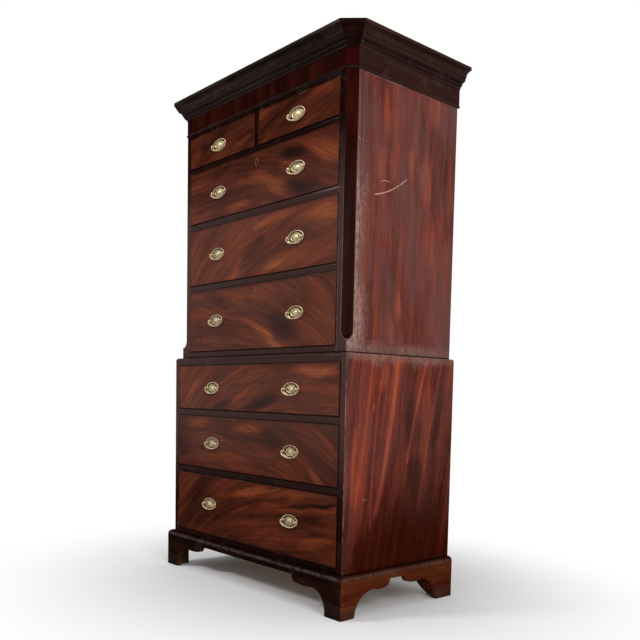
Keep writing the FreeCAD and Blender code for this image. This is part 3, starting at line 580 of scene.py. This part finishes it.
# ---- shaping ----
def quarter(a, b, upright, steps=6):
    """Points of a quarter turn after a, up to b. It leaves a upright and comes level to b, or
    leaves a level and comes upright to b."""
    points = []
    for i in range(1, steps):
        turn = math.pi / 2 * i / steps
        early, late = math.sin(turn), 1 - math.cos(turn)
        out, up = (late, early) if upright else (early, late)
        points.append((a[0] + (b[0] - a[0]) * out, a[1] + (b[1] - a[1]) * up))
    return points + [b]


def sweep(bm, section, stations, closed=False):
    """Carry a closed flat section through the stations, and cap its ends."""
    ring = [bm.verts.new(stations[0] @ Vector((x, y, 0))) for x, y in section]
    first = [bm.edges.new(pair) for pair in zip(ring, ring[1:] + ring[:1])]
    edges = first
    for here, there in zip(stations, stations[1:]):
        made = bmesh.ops.extrude_edge_only(bm, edges=edges)["geom"]
        verts = [g for g in made if isinstance(g, bmesh.types.BMVert)]
        bmesh.ops.transform(bm, matrix=there @ here.inverted(), verts=verts)
        edges = [g for g in made if isinstance(g, bmesh.types.BMEdge)
                 and all(v in verts for v in g.verts)]
    if closed:
        bmesh.ops.bridge_loops(bm, edges=first + edges)
    else:
        for loop in (first, edges):
            bmesh.ops.contextual_create(bm, geom=loop)


def station(origin, across, up):
    """Matrix that puts a section's x along across and its y along up, at the origin given."""
    axes = Matrix((across, up, across.cross(up))).transposed()
    return Matrix.Translation(origin) @ axes.to_4x4()


def round_case(corners):
    """Stations at the corners of an open run round a case, mitred, with x out from it."""
    runs = [(b - a).normalized() for a, b in zip(corners, corners[1:])]
    outs = [Vector((run.y, -run.x, 0)) for run in runs]
    mitres = [outs[0]] + [(a + b) / (1 + a.dot(b)) for a, b in zip(outs, outs[1:])] + [outs[-1]]
    return [station(corner, out, Vector((0, 0, 1))) for corner, out in zip(corners, mitres)]


def ease_edges(bm, width):
    """Rub down every sharp edge."""
    edges = [e for e in bm.edges if e.is_manifold and e.calc_face_angle() > SHARP]
    bmesh.ops.bevel(bm, geom=edges, offset=width, offset_type="OFFSET", segments=2,
                    profile=0.5, affect="EDGES", clamp_overlap=True, material=-1)


def piece(name, bm, body, finish, slot, *others, replaced=()):
    """Close a piece: normals, shading, finish, the body it rides on and the CAD pieces that it
    replaces. Each of the others is a finish and the test, of a face's normal and middle, that
    gives a face that finish."""
    bmesh.ops.recalc_face_normals(bm, faces=bm.faces)
    mesh = bpy.data.meshes.new(name)
    bm.to_mesh(mesh)
    bm.free()
    mesh.materials.append(finish)
    for i, (other, takes) in enumerate(others, 1):
        mesh.materials.append(other)
        for face in mesh.polygons:
            if takes(face.normal, face.center):
                face.material_index = i
    mesh.shade_smooth()
    mesh.set_sharp_from_angle(angle=SMOOTHED)
    made = bpy.data.objects.new(name, mesh)
    bpy.context.scene.collection.objects.link(made)
    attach(made, body)
    if replaced:
        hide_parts(*replaced)
    return made


def slab(bm, lo, hi):
    """A rectangular block between two corners."""
    centre, size = (Vector(lo) + Vector(hi)) / 2, Vector(hi) - Vector(lo)
    made = bmesh.ops.create_cube(bm, size=1.0, matrix=Matrix.Translation(centre)
                                 @ Matrix.Diagonal((*size, 1.0)))
    return made["verts"]


def rubbed(node, finish, slot, *others, width=ARRIS):
    """A copy of a CAD node with its arrises rubbed down stands in its place."""
    bm = bmesh.new()
    bm.from_mesh(nodes[node].data)
    bmesh.ops.remove_doubles(bm, verts=bm.verts, dist=CAD_MERGE)
    bmesh.ops.dissolve_limit(bm, angle_limit=FLAT, verts=bm.verts, edges=bm.edges)
    same = {}
    for face in bm.faces:
        same.setdefault(frozenset(v.index for v in face.verts), []).append(face)
    touching = [face for faces in same.values() if len(faces) > 1 for face in faces]
    bmesh.ops.delete(bm, geom=touching, context="FACES_ONLY")
    ease_edges(bm, width)
    piece(node + "_rubbed", bm, "chest", finish, slot, *others, replaced=(node,))


# ---- case ----
def faces_sideways(normal, centre):
    return abs(normal.x) > 2 * abs(normal.y)


def faces_partly_sideways(normal, centre):
    return abs(normal.x) > 0.35


def faces_forward(normal, centre):
    return normal.y < -0.8


def faces_aslant(normal, centre):
    return normal.y < -0.05 and 0.8 < abs(normal.x / normal.y) < 1.25


rubbed("lower_sides", lower_panel, "case_mahogany", (stile_wood, faces_forward))
rubbed("upper_sides", upper_panel, "case_mahogany")
rubbed("lower_top", rail_wood, "case_mahogany", (lower_panel, faces_sideways),
       width=FINE_ARRIS)
rubbed("lower_rails", rail_wood, "dark_mahogany")
rubbed("upper_rails", rail_wood, "dark_mahogany")
# darker front faces and browner side faces: partly painted shade on the front
rubbed("front_feet", plinth_front_wood, "case_mahogany", (plinth_side_wood, faces_sideways))
rubbed("rear_feet", plinth_side_wood, "case_mahogany")
for boards in ("lower_backboards", "upper_backboards"):
    lo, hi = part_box(boards)
    pine = straight_grain(boards + "_pine", PINE, HEIGHT, 14.0, 0.0, 0.1, rough=0.68,
                          boards=(lo.x, (hi.x - lo.x) / BACKBOARDS))
    rubbed(boards, pine, "old_pine", width=BOARD_ARRIS)


def polygon(bm, points):
    """One flat face. Repeated points count once."""
    points = [p for i, p in enumerate(points) if (p - points[i - 1]).length > MERGE]
    verts = [bm.verts.new(p) for p in points]
    edges = [bm.edges.new(pair) for pair in zip(verts, verts[1:] + verts[:1])]
    bmesh.ops.contextual_create(bm, geom=edges)


def corner_posts():
    """Posts with a canted corner. The cant ends below in a rounded tongue, cut square in."""
    lo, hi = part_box("corner_posts")
    half, front, rear, inner = hi.x, lo.y, hi.y, hi.x - POST_WIDE
    leg = Vector((CANT, CANT, 0)) / 2
    outward = Vector((1, -1, 0)).normalized()
    middle = Vector((half - CANT / 2, front + CANT / 2, JOINT + TONGUE_FOOT + TONGUE_LONG))
    steps = 16
    sunk, brim = [], []
    for i in range(steps + 1):
        turn = math.pi * i / steps
        sunk.append(middle - leg * math.cos(turn) - Vector((0, 0, TONGUE_LONG * math.sin(turn))))
        brim.append(sunk[-1] + outward * leg.length * (1 - abs(math.cos(turn))))
    foot = [Vector((x, y, lo.z)) for x, y in (
        (inner, front), (half, front), (half, rear), (inner, rear))]
    head = [Vector((x, y, hi.z)) for x, y in (
        (inner, front), (half - CANT, front), (half, front + CANT), (half, rear), (inner, rear))]
    cant = sunk + [head[2], head[1]]
    front_face = [foot[0], head[0], head[1]] + brim[:steps // 2 + 1] + [foot[1]]
    side_face = [foot[1]] + brim[steps // 2:] + [head[2], head[3], foot[2]]
    rear_face = [foot[2], head[3], head[4], foot[3]]
    inner_face = [foot[3], head[4], head[0], foot[0]]
    ledges = [[sunk[i], sunk[i + 1], brim[i + 1], brim[i]] for i in range(steps)]
    bm = bmesh.new()
    for points in (cant, *ledges, front_face, side_face, rear_face, inner_face, head, foot):
        polygon(bm, points)
    bmesh.ops.remove_doubles(bm, verts=bm.verts, dist=MERGE)
    bmesh.ops.recalc_face_normals(bm, faces=bm.faces)
    finishes = [stile_wood, cant_wood, upper_panel, worn_edge_wood]
    for face in bm.faces:
        if faces_aslant(face.normal, None):
            face.material_index = finishes.index(cant_wood)
        elif face.normal.x > 0.999:
            face.material_index = finishes.index(upper_panel)
    shown = [f for f in bm.faces if f.normal.x > 0.999 or f.normal.y < -0.999]
    rims = bmesh.ops.inset_individual(bm, faces=shown, thickness=RUBBED_WIDE,
                                      use_even_offset=True)
    for face in rims["faces"]:
        face.material_index = finishes.index(worn_edge_wood)
    ease_edges(bm, ARRIS)
    bmesh.ops.mirror(bm, geom=bm.verts[:] + bm.edges[:] + bm.faces[:], axis="X",
                     merge_dist=MERGE)
    made = piece("corner_posts_canted", bm, "chest", finishes[0], "dark_mahogany",
                 replaced=("corner_posts",))
    for finish in finishes[1:]:
        made.data.materials.append(finish)


def head_corners():
    """Plan of the upper case, from its back left round to its back right."""
    half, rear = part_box("upper_sides")[1].x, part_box("cornice")[1].y
    left = [Vector((-half, rear, 0)), Vector((-half, UPPER_FRONT + CANT, 0)),
            Vector((-half + CANT, UPPER_FRONT, 0))]
    return left + [Vector((-p.x, p.y, 0)) for p in reversed(left)]


def scaled(points, lift):
    """A profile written in millimetres, lifted to its place."""
    return [(x / 1000, y / 1000 + lift) for x, y in points]


def cornice():
    """Ovolo, cove and fascia, mitred round the canted corners."""
    profile = [(0, 0), (3.5, 0), (3.5, 3)] + quarter((3.5, 3.6), (8, 9), upright=True)
    profile += [(8.5, 9), (8.5, 10.2)] + quarter((8.5, 10.2), (12.5, 15.5), upright=False)
    profile += [(12.5, 19), (18, 19), (18, 20.5)] + quarter((18, 20.5), (27, 33), upright=False)
    profile += [(29.5, 33), (29.5, 36)] + quarter((29.5, 36), (45, 50), upright=True)
    profile += [(45, 52), (51, 52), (51, 63), (0, 63)]
    bm = bmesh.new()
    sweep(bm, scaled(profile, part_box("cornice")[0].z), round_case(head_corners()))
    ease_edges(bm, FINE_ARRIS)
    piece("cornice_moulded", bm, "chest", cornice_wood, "dark_mahogany",
          (cornice_cant_wood, faces_aslant), (cornice_side_wood, faces_sideways),
          replaced=("cornice",))


def frieze():
    """Cross-banded boards over a round bead."""
    nose = [(0, 0), (1.5, 0), (1.5, 1)] + quarter((1.5, 1), (4, 4.5), upright=False, steps=4)
    nose += quarter((4, 4.5), (1.5, 8), upright=True, steps=4) + [(1.5, 9), (0, 9)]
    bead = scaled(nose, FRIEZE_FOOT)
    foot, head = bead[-1][1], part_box("frieze")[1].z
    out, back = FRIEZE_OUT, FRIEZE_OUT - FRIEZE_T
    bm = bmesh.new()
    sweep(bm, [(back, foot), (out, foot), (out, head), (back, head)],
          round_case(head_corners()))
    piece("frieze_boards", bm, "chest", crossband, "figured_mahogany",
          (frieze_cant_wood, faces_aslant), (frieze_side_wood, faces_sideways),
          replaced=("frieze",))
    bm = bmesh.new()
    sweep(bm, bead, round_case(head_corners()))
    piece("frieze_bead", bm, "chest", cornice_wood, "dark_mahogany",
          (cornice_side_wood, faces_sideways))


def base_moulding():
    """Quarter round over the feet, mitred at the two front corners."""
    lo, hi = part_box("base_moulding")
    profile = [(0, 0), (21, 0), (21, 1.4), (20, 1.9), (20, 2.6), (20.8, 3.2)]
    profile += quarter((20.8, 3.2), (3, 18), upright=True) + [(0, 18)]
    corners = [Vector((-LOWER_HALF, hi.y, 0)), Vector((-LOWER_HALF, LOWER_FRONT, 0)),
               Vector((LOWER_HALF, LOWER_FRONT, 0)), Vector((LOWER_HALF, hi.y, 0))]
    bm = bmesh.new()
    sweep(bm, scaled(profile, hi.z - BASE_MOULDING_HIGH), round_case(corners))
    piece("base_moulding_round", bm, "chest", moulding_wood, "dark_mahogany",
          (moulding_side_wood, faces_partly_sideways), replaced=("base_moulding",))


def apron():
    """Strips between the feet, up to the underside of the moulding."""
    lo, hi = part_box("base_moulding")
    top = hi.z - BASE_MOULDING_HIGH
    (left, front, _), (right, inner, _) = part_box("front_feet")
    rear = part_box("rear_feet")[0].y
    bm = bmesh.new()
    slab(bm, (left + BRACKET_LONG, front, lo.z), (right - BRACKET_LONG, front + APRON_T, top))
    slab(bm, (left, inner, lo.z), (left + APRON_T, rear, top))
    slab(bm, (right - APRON_T, inner, lo.z), (right, rear, top))
    ease_edges(bm, FINE_ARRIS)
    piece("apron", bm, "chest", plinth_front_wood, "case_mahogany",
          (plinth_side_wood, faces_sideways))


def dress(node, finish):
    """Give a finish to a CAD piece that stays as it is."""
    nodes[node].data.materials.clear()
    nodes[node].data.materials.append(finish)


corner_posts()
cornice()
frieze()
base_moulding()
apron()
dress("lower_linings", oak)
dress("upper_linings", oak)
dress("plinth_blocks", grimy_pine)


# ---- drawer fronts ----
# the veneer of each drawer: its seed, fan, glow and patches, as flame() takes them
FIGURES = {
    "short_left_drawer": (1.0, (0.4, 0.3, 0.3), -0.1, [
        ((-0.06, 0.03), (0.1, 0.03), 0.1, -0.16), ((0.11, -0.045), (0.1, 0.02), 0.2, 0.25),
        ((-0.13, 0.02), (0.03, 0.03), 0.2, -0.2), ((-0.14, -0.02), (0.07, 0.02), 0.3, 0.08)]),
    "short_right_drawer": (2.3, (0.3, 0.28, 0.25), -0.07, [
        ((-0.1, 0.02), (0.12, 0.02), 0.3, -0.15), ((0.05, -0.035), (0.16, 0.02), 0.2, 0.16),
        ((0.12, 0.03), (0.1, 0.03), 0.3, 0.1), ((-0.16, -0.03), (0.06, 0.02), 0.2, 0.08)]),
    "upper_top_drawer": (3.1, (0.15, -0.2, -0.5), -0.07, [
        ((0.37, 0.055), (0.12, 0.04), -0.3, 0.26), ((0.2, 0.066), (0.06, 0.018), -0.1, -0.45),
        ((0.16, 0.033), (0.05, 0.012), 0.0, 0.22), ((0.24, -0.045), (0.1, 0.035), 0.0, -0.34),
        ((0.11, -0.03), (0.16, 0.03), -0.42, 0.24), ((-0.12, -0.075), (0.11, 0.016), 0.1, 0.38),
        ((0.02, 0.02), (0.07, 0.03), 0.0, 0.1), ((-0.34, 0.05), (0.1, 0.02), 0.1, 0.08)]),
    "upper_middle_drawer": (4.7, (1.0, 0.4, 0.05), 0.05, [
        ((0.09, 0.075), (0.14, 0.022), 0.1, 0.3), ((0.37, 0.035), (0.12, 0.05), 0.0, 0.18),
        ((-0.16, -0.075), (0.11, 0.025), 0.5, 0.3), ((0.12, -0.085), (0.07, 0.014), 0.1, 0.28),
        ((0.0, 0.0), (0.09, 0.03), 0.3, -0.26), ((-0.4, 0.03), (0.07, 0.06), 0.9, 0.12),
        ((0.27, -0.03), (0.14, 0.02), 0.1, -0.12)]),
    "upper_bottom_drawer": (6.2, (0.05, -0.3, -0.75), 0.0, [
        ((-0.04, 0.08), (0.14, 0.032), 0.0, 0.28), ((0.17, -0.025), (0.09, 0.05), -0.2, -0.42),
        ((0.07, -0.06), (0.15, 0.018), -0.42, 0.34), ((0.38, 0.05), (0.1, 0.04), -0.7, 0.12),
        ((-0.27, 0.03), (0.08, 0.015), 0.1, 0.12), ((0.26, 0.06), (0.06, 0.03), -0.7, -0.1)]),
    "lower_top_drawer": (7.9, (0.95, 0.25, 0.0), 0.02, [
        ((0.39, 0.05), (0.14, 0.018), 0.0, 0.34), ((0.06, 0.042), (0.13, 0.018), 0.1, 0.24),
        ((-0.19, -0.06), (0.12, 0.02), 0.15, -0.4),
        ((0.07, -0.055), (0.12, 0.018), 0.15, -0.38),
        ((-0.08, -0.035), (0.12, 0.013), 0.35, 0.26), ((-0.38, 0.04), (0.07, 0.02), 0.8, 0.2)]),
    "lower_middle_drawer": (9.4, (0.05, -0.1, -0.6), -0.06, [
        ((0.0, 0.064), (0.13, 0.028), 0.1, 0.4), ((-0.33, 0.07), (0.12, 0.012), 0.0, 0.22),
        ((0.15, 0.05), (0.08, 0.025), -0.3, -0.25), ((0.385, -0.058), (0.06, 0.022), -0.6, 0.3),
        ((-0.06, -0.075), (0.12, 0.022), -0.2, 0.14), ((-0.44, 0.0), (0.06, 0.1), 0.0, -0.2),
        ((0.4, 0.07), (0.1, 0.02), -0.4, 0.14)]),
    "lower_bottom_drawer": (11.0, (0.9, 0.25, 0.12), -0.12, [
        ((0.1, 0.08), (0.3, 0.02), 0.05, 0.32), ((0.28, 0.04), (0.25, 0.022), 0.08, 0.28),
        ((0.35, 0.055), (0.15, 0.009), 0.12, -0.55), ((0.42, -0.06), (0.12, 0.025), 0.2, 0.22),
        ((-0.34, 0.02), (0.14, 0.08), 0.9, -0.16), ((0.08, -0.05), (0.2, 0.03), 0.1, 0.08)])}


def strip_stations(lo, hi):
    """Corners of a drawer front, for a bead round it: x inwards, y to the back."""
    ends = [(lo.x, lo.z, 1, 1), (hi.x, lo.z, -1, 1), (hi.x, hi.z, -1, -1), (lo.x, hi.z, 1, -1)]
    return [station(Vector((x, 0, z)), Vector((sx, 0, sz)), Vector((0, 1, 0)))
            for x, z, sx, sz in ends]


def drawer_face(name):
    """Veneered panel and the cockbead round it."""
    lo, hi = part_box(name + "_face")
    front = lo.y + BEAD_OUT
    bm = bmesh.new()
    slab(bm, (lo.x + BEAD, front, lo.z + BEAD), (hi.x - BEAD, front + VENEER, hi.z - BEAD))
    piece(name + "_veneer", bm, name, flame(name, *FIGURES[name]), "figured_mahogany",
          replaced=(name + "_face",))
    radius, turns = BEAD / 2, [math.pi * i / 6 for i in range(7)]
    nose = [(radius - radius * math.cos(t), lo.y + radius - radius * math.sin(t)) for t in turns]
    section = nose + [(BEAD, front + BEAD_DEEP), (0, front + BEAD_DEEP)]
    bm = bmesh.new()
    sweep(bm, section, strip_stations(lo, hi), closed=True)
    slab(bm, (lo.x, front + BEAD_DEEP, hi.z - BEAD), (hi.x, hi.y, hi.z))
    middle = (lo + hi) / 2

    def flank(normal, centre):
        """Sides of the bead that face the case, darkened as painted shade in the gap, and the
        whole of its lower strip, darkened as dirt and painted shade.
        """
        outer = max(normal.x * (centre.x - middle.x), normal.z * (centre.z - middle.z)) > 0
        return outer and normal.y > -0.75 or centre.z < lo.z + BEAD

    # flanks and lower strip darkened: painted shade in the gap round the drawer
    piece(name + "_cockbead", bm, name, bead_wood, "figured_mahogany", (grime_and_gap_shade_wood, flank))


def drawer_box(name):
    """Oak sides, back and bottom, dovetailed into the ground of the front."""
    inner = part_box(name + "_face")[1].y
    bm = bmesh.new()
    bm.from_mesh(nodes[name + "_box"].data)
    bmesh.ops.dissolve_limit(bm, angle_limit=FLAT, verts=[], edges=bm.edges)
    for face in bm.faces:
        in_front = all(v.co.y < inner + LEVEL for v in face.verts)
        face.material_index = int(in_front)
    bmesh.ops.remove_doubles(bm, verts=bm.verts, dist=CAD_MERGE)
    made = piece(name + "_carcase", bm, name, oak, "drawer_oak", replaced=(name + "_box",))
    made.data.materials.append(ground_wood)
    made.data.shade_flat()


# ---- brasses ----
def turned(bm, centre, profile, half=(0.001, 0.001), steps=20):
    """Spin a profile about the axis of a boss on a drawer face. Its points are a radius and a
    height in millimetres. Half is what a radius of 1 comes to along X and Z: a millimetre, or
    the half lengths of an oval."""
    old = set(bm.verts)
    verts = [bm.verts.new((radius, -height / 1000, 0)) for radius, height in profile]
    edges = [bm.edges.new(pair) for pair in zip(verts, verts[1:])]
    bmesh.ops.spin(bm, geom=verts + edges, cent=(0, 0, 0), axis=(0, 1, 0), dvec=(0, 0, 0),
                   angle=math.tau, steps=steps, use_merge=True)
    bmesh.ops.transform(bm, verts=[v for v in bm.verts if v not in old],
                        matrix=Matrix.Translation(centre)
                        @ Matrix.Diagonal((half[0], 1, half[1], 1)))


PLATE_PROFILE = [(0.0, 0.0), (1.0, 0.0), (1.0, 0.5), (0.992, 0.9), (0.975, 1.15), (0.955, 1.2),
                 (0.925, 1.05), (0.905, 0.6), (0.89, 0.4), (0.55, 0.4), (0.0, 0.4)]
BOSS_PROFILE = [(0.0, 0.3), (1.0, 0.3), (1.0, 1.1), (0.985, 1.6), (0.95, 1.85), (0.90, 1.6),
                (0.86, 1.1), (0.80, 0.9), (0.62, 1.0), (0.52, 1.5), (0.42, 2.4), (0.29, 3.2),
                (0.14, 3.65), (0.0, 3.8)]
POST_PROFILE = [(0.0, 0.6), (4.4, 0.6), (4.5, 1.2), (3.8, 1.8), (3.0, 2.4), (2.8, 3.0),
                (3.3, 4.0), (4.1, 5.2), (4.5, 7.0), (4.4, 8.8), (3.9, 10.2), (2.8, 11.3),
                (1.4, 11.9), (0.0, 12.0)]


def plate(name, body, middle, face_y, replaced):
    """Stamped oval plate: rolled rim, sunk field and raised oval with a dome."""
    centre = Vector((middle.x, face_y, middle.z))
    bm = bmesh.new()
    turned(bm, centre, PLATE_PROFILE, PLATE_HALF, 56)
    turned(bm, centre, BOSS_PROFILE, BOSS_HALF, 44)
    bmesh.ops.remove_doubles(bm, verts=bm.verts, dist=MERGE)

    def reach(at, half):
        return math.hypot((at.x - centre.x) / half[0], (at.z - centre.z) / half[1])

    def groove(normal, at):
        """Between the raised oval and the rim."""
        return reach(at, BOSS_HALF) > 1.0 and reach(at, PLATE_HALF) < 0.91

    def field(normal, at):
        """Round the dome, within the oval's own rim."""
        return 0.56 < reach(at, BOSS_HALF) < 0.88

    piece(name, bm, body, brass, "old_brass", (grimy_brass, groove), (field_brass, field),
          replaced=replaced)


def circle(steps):
    """Points round a circle of radius 1."""
    turns = [math.tau * i / steps for i in range(steps)]
    return [(math.cos(t), math.sin(t)) for t in turns]


def bail(name, pin):
    """Half-oval bail of round rod, thinner towards its ends, which turn in to the posts."""
    turn_in, turn_down = SHOULDER
    route = [(-POST_SPREAD - PIN_SHORT, 0.0), (-BAIL_HALF + turn_in, 0.0)]
    for i in range(25):
        t = math.pi * i / 24
        route.append((-BAIL_HALF * math.cos(t),
                      -turn_down - (BAIL_DROP - turn_down) * math.sin(t)))
    route += [(-x, z) for x, z in reversed(route[:2])]
    points = [Vector((pin.x + x, pin.y, pin.z + z)) for x, z in route]
    last = len(points) - 1
    stations = []
    for i, at in enumerate(points):
        along = (points[min(i + 1, last)] - points[max(i - 1, 0)]).normalized()
        from_end = min(i, last - i)
        radius = PIN_R if from_end < 2 else BAIL_R * (0.80 + 0.20 * min(1.0, (from_end - 1) / 7))
        across = along.cross(Vector((0, 1, 0))) * radius
        stations.append(station(at, across, Vector((0, radius, 0))))
    bm = bmesh.new()
    sweep(bm, circle(12), stations)
    piece(name + "_rod", bm, name, brass, "old_brass", replaced=(name,))


def key_thread(name, x, face_y, z):
    """Oval thread of brass, let in round the keyhole."""
    half_x, half_z = [half - THREAD_IN for half in THREAD_HALF]
    stations = [station(Vector((x + half_x * cos, face_y, z + half_z * sin)),
                        Vector((cos, 0, sin)), Vector((0, -1, 0))) for cos, sin in circle(40)]
    section = scaled([(-1, 0), (-1, 0.2), (-0.6, 0.5), (0, 0.6), (0.6, 0.5), (1, 0.2), (1, 0)], 0)
    bm = bmesh.new()
    sweep(bm, section, stations, closed=True)
    piece(name + "_key_thread", bm, name, thread_brass, "old_brass")


def keyhole(name, x, face_y, z):
    """A thin dark plug shaped as a round hole over a slot that widens to its foot: painted shade
    where the hole is.
    """
    bm = bmesh.new()
    bmesh.ops.create_cone(bm, cap_ends=True, segments=20, radius1=KEYHOLE_R, radius2=KEYHOLE_R,
                          depth=KEYHOLE_T, matrix=Matrix.Translation((x, face_y, z + KEYHOLE_UP))
                          @ Matrix.Rotation(math.pi / 2, 4, "X"))
    slot = slab(bm, (x - SLOT_HALF, face_y - KEYHOLE_T / 2, z - SLOT_DOWN),
                (x + SLOT_HALF, face_y + KEYHOLE_T / 2, z + KEYHOLE_UP))
    bmesh.ops.scale(bm, vec=(SLOT_FLARE, 1, 1), verts=[v for v in slot if v.co.z < z],
                    space=Matrix.Translation((-x, -face_y, -z)))
    piece(name + "_keyhole", bm, name, hole_shade, "lock_iron")


def handles(name):
    """Plates, bails, posts and nuts of one drawer."""
    lo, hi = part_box(name + "_face")
    face_y, inner = lo.y + BEAD_OUT, hi.y
    pins = {j["child"]: Vector(j["pos_m"]) for j in frame["joints"]
            if j["parent"] == name and j["type"] == "hinge"}
    posts, nuts = bmesh.new(), bmesh.new()
    replaced = (name + "_brasses",)
    for child, pin in pins.items():
        plate(child.replace("bail", "plate"), name, pin, face_y, replaced)
        replaced = ()
        bail(child, pin)
        for x in (pin.x - POST_SPREAD, pin.x + POST_SPREAD):
            turned(posts, Vector((x, face_y, pin.z)), POST_PROFILE)
            slab(nuts, (x - NUT / 2, inner, pin.z - NUT / 2),
                 (x + NUT / 2, inner + NUT_T, pin.z + NUT / 2))
    bmesh.ops.remove_doubles(posts, verts=posts.verts, dist=MERGE)
    piece(name + "_posts", posts, name, brass, "old_brass")
    ease_edges(nuts, FINE_ARRIS)
    piece(name + "_nuts", nuts, name, brass, "old_brass")


def lock(name):
    """Thread and keyhole on the face of a drawer, and the case of the lock behind it."""
    lo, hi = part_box(name + "_face")
    middle, inner, top = (lo.x + hi.x) / 2, hi.y, hi.z - BEAD
    at = (middle, lo.y + BEAD_OUT, hi.z + TOP_GAP - THREAD_DROP)
    key_thread(name, *at)
    keyhole(name, *at)
    bm = bmesh.new()
    slab(bm, (middle - LOCK[0] / 2, inner - LOCK[1], top - LOCK[2]),
         (middle + LOCK[0] / 2, inner, top))
    ease_edges(bm, FINE_ARRIS)
    piece(name + "_lock", bm, name, iron, "lock_iron")
    dress(name + "_bolt", iron)


for drawer in FIGURES:
    drawer_face(drawer)
    handles(drawer)
    if drawer + "_bolt" in nodes:
        lock(drawer)
    drawer_box(drawer)


# ---- room, light and camera ----
def white_room():
    """White behind the chest and in its reflections, plain soft light elsewhere."""
    world = bpy.data.worlds.new("studio")
    bpy.context.scene.world = world
    world.use_nodes = True
    room = Graph(world.node_tree)
    room.tree.nodes.remove(room.tree.nodes["Background"])
    soft, white = [room.node("ShaderNodeBackground", {}, {"Color": WHITE, "Strength": strength})
                   for strength in (WORLD_LIGHT, 1.0)]
    shown = room.node("ShaderNodeMixShader", {}, {0: room.looked_at(), 1: soft, 2: white})
    room.put(room.tree.nodes["World Output"].inputs[0], shown)


def pale_floor():
    """Pale floor, which takes the chest's shadow and turns plain white away from it."""
    bm = bmesh.new()
    bmesh.ops.create_grid(bm, x_segments=1, y_segments=1, size=14.0)
    mesh = bpy.data.meshes.new("floor")
    bm.to_mesh(mesh)
    bm.free()
    floor = bpy.data.objects.new("floor", mesh)
    bpy.context.scene.collection.objects.link(floor)
    f = Finish("pale_floor", Specular_IOR_Level=0.0)
    where = f.where()
    speckle = f.noise(where, 3.0, 3.0)
    f.show(Base_Color=f.blend(speckle, (0.90, 0.90, 0.90), (0.92, 0.92, 0.92)),
           Roughness=0.85 + speckle * 0.1)
    near = f.cloud(where, (0, 0.02, 0), (1.5, 1.3, 1.0))
    white = f.node("ShaderNodeEmission", {}, {"Color": WHITE, "Strength": 1.0})
    shown = f.node("ShaderNodeMixShader", {}, {
        0: f.looked_at() * (1 - near), 1: Value(f, f.shader.outputs[0]), 2: white})
    f.put(f.tree.nodes["Material Output"].inputs[0], shown)
    mesh.materials.append(f.material)


def lamp(name, at, aim, size, power):
    """A round lamp aimed at a point."""
    light = bpy.data.lights.new(name, "AREA")
    light.shape, light.size, light.energy = "DISK", size, power
    holder = bpy.data.objects.new(name, light)
    holder.location = at
    holder.rotation_euler = (Vector(aim) - Vector(at)).to_track_quat("-Z", "Y").to_euler()
    bpy.context.scene.collection.objects.link(holder)


def camera():
    """Seen from the right of the front, from waist height."""
    level = Vector((math.cos(YAW), math.sin(YAW), 0))
    ahead = Vector((-math.sin(YAW) * math.cos(PITCH), math.cos(YAW) * math.cos(PITCH),
                    math.sin(PITCH)))
    above = level.cross(ahead)
    right = math.cos(ROLL) * level + math.sin(ROLL) * above
    up = math.cos(ROLL) * above - math.sin(ROLL) * level
    data = bpy.data.cameras.new("camera")
    data.sensor_width, data.lens = SENSOR, LENS
    data.shift_x, data.shift_y = LENS_SHIFT
    holder = bpy.data.objects.new("camera", data)
    holder.matrix_world = station(EYE, right, up)
    bpy.context.scene.collection.objects.link(holder)
    bpy.context.scene.camera = holder


white_room()
pale_floor()
lamp("key", at=(-1.6, -3.6, 3.5), aim=(0.0, -0.2, 1.1), size=0.9, power=KEY_LIGHT)
lamp("fill", at=(4.2, -1.4, 2.6), aim=(0.4, 0.0, 1.0), size=2.4, power=FILL_LIGHT)
camera()
bpy.context.scene.view_settings.view_transform = "Standard"
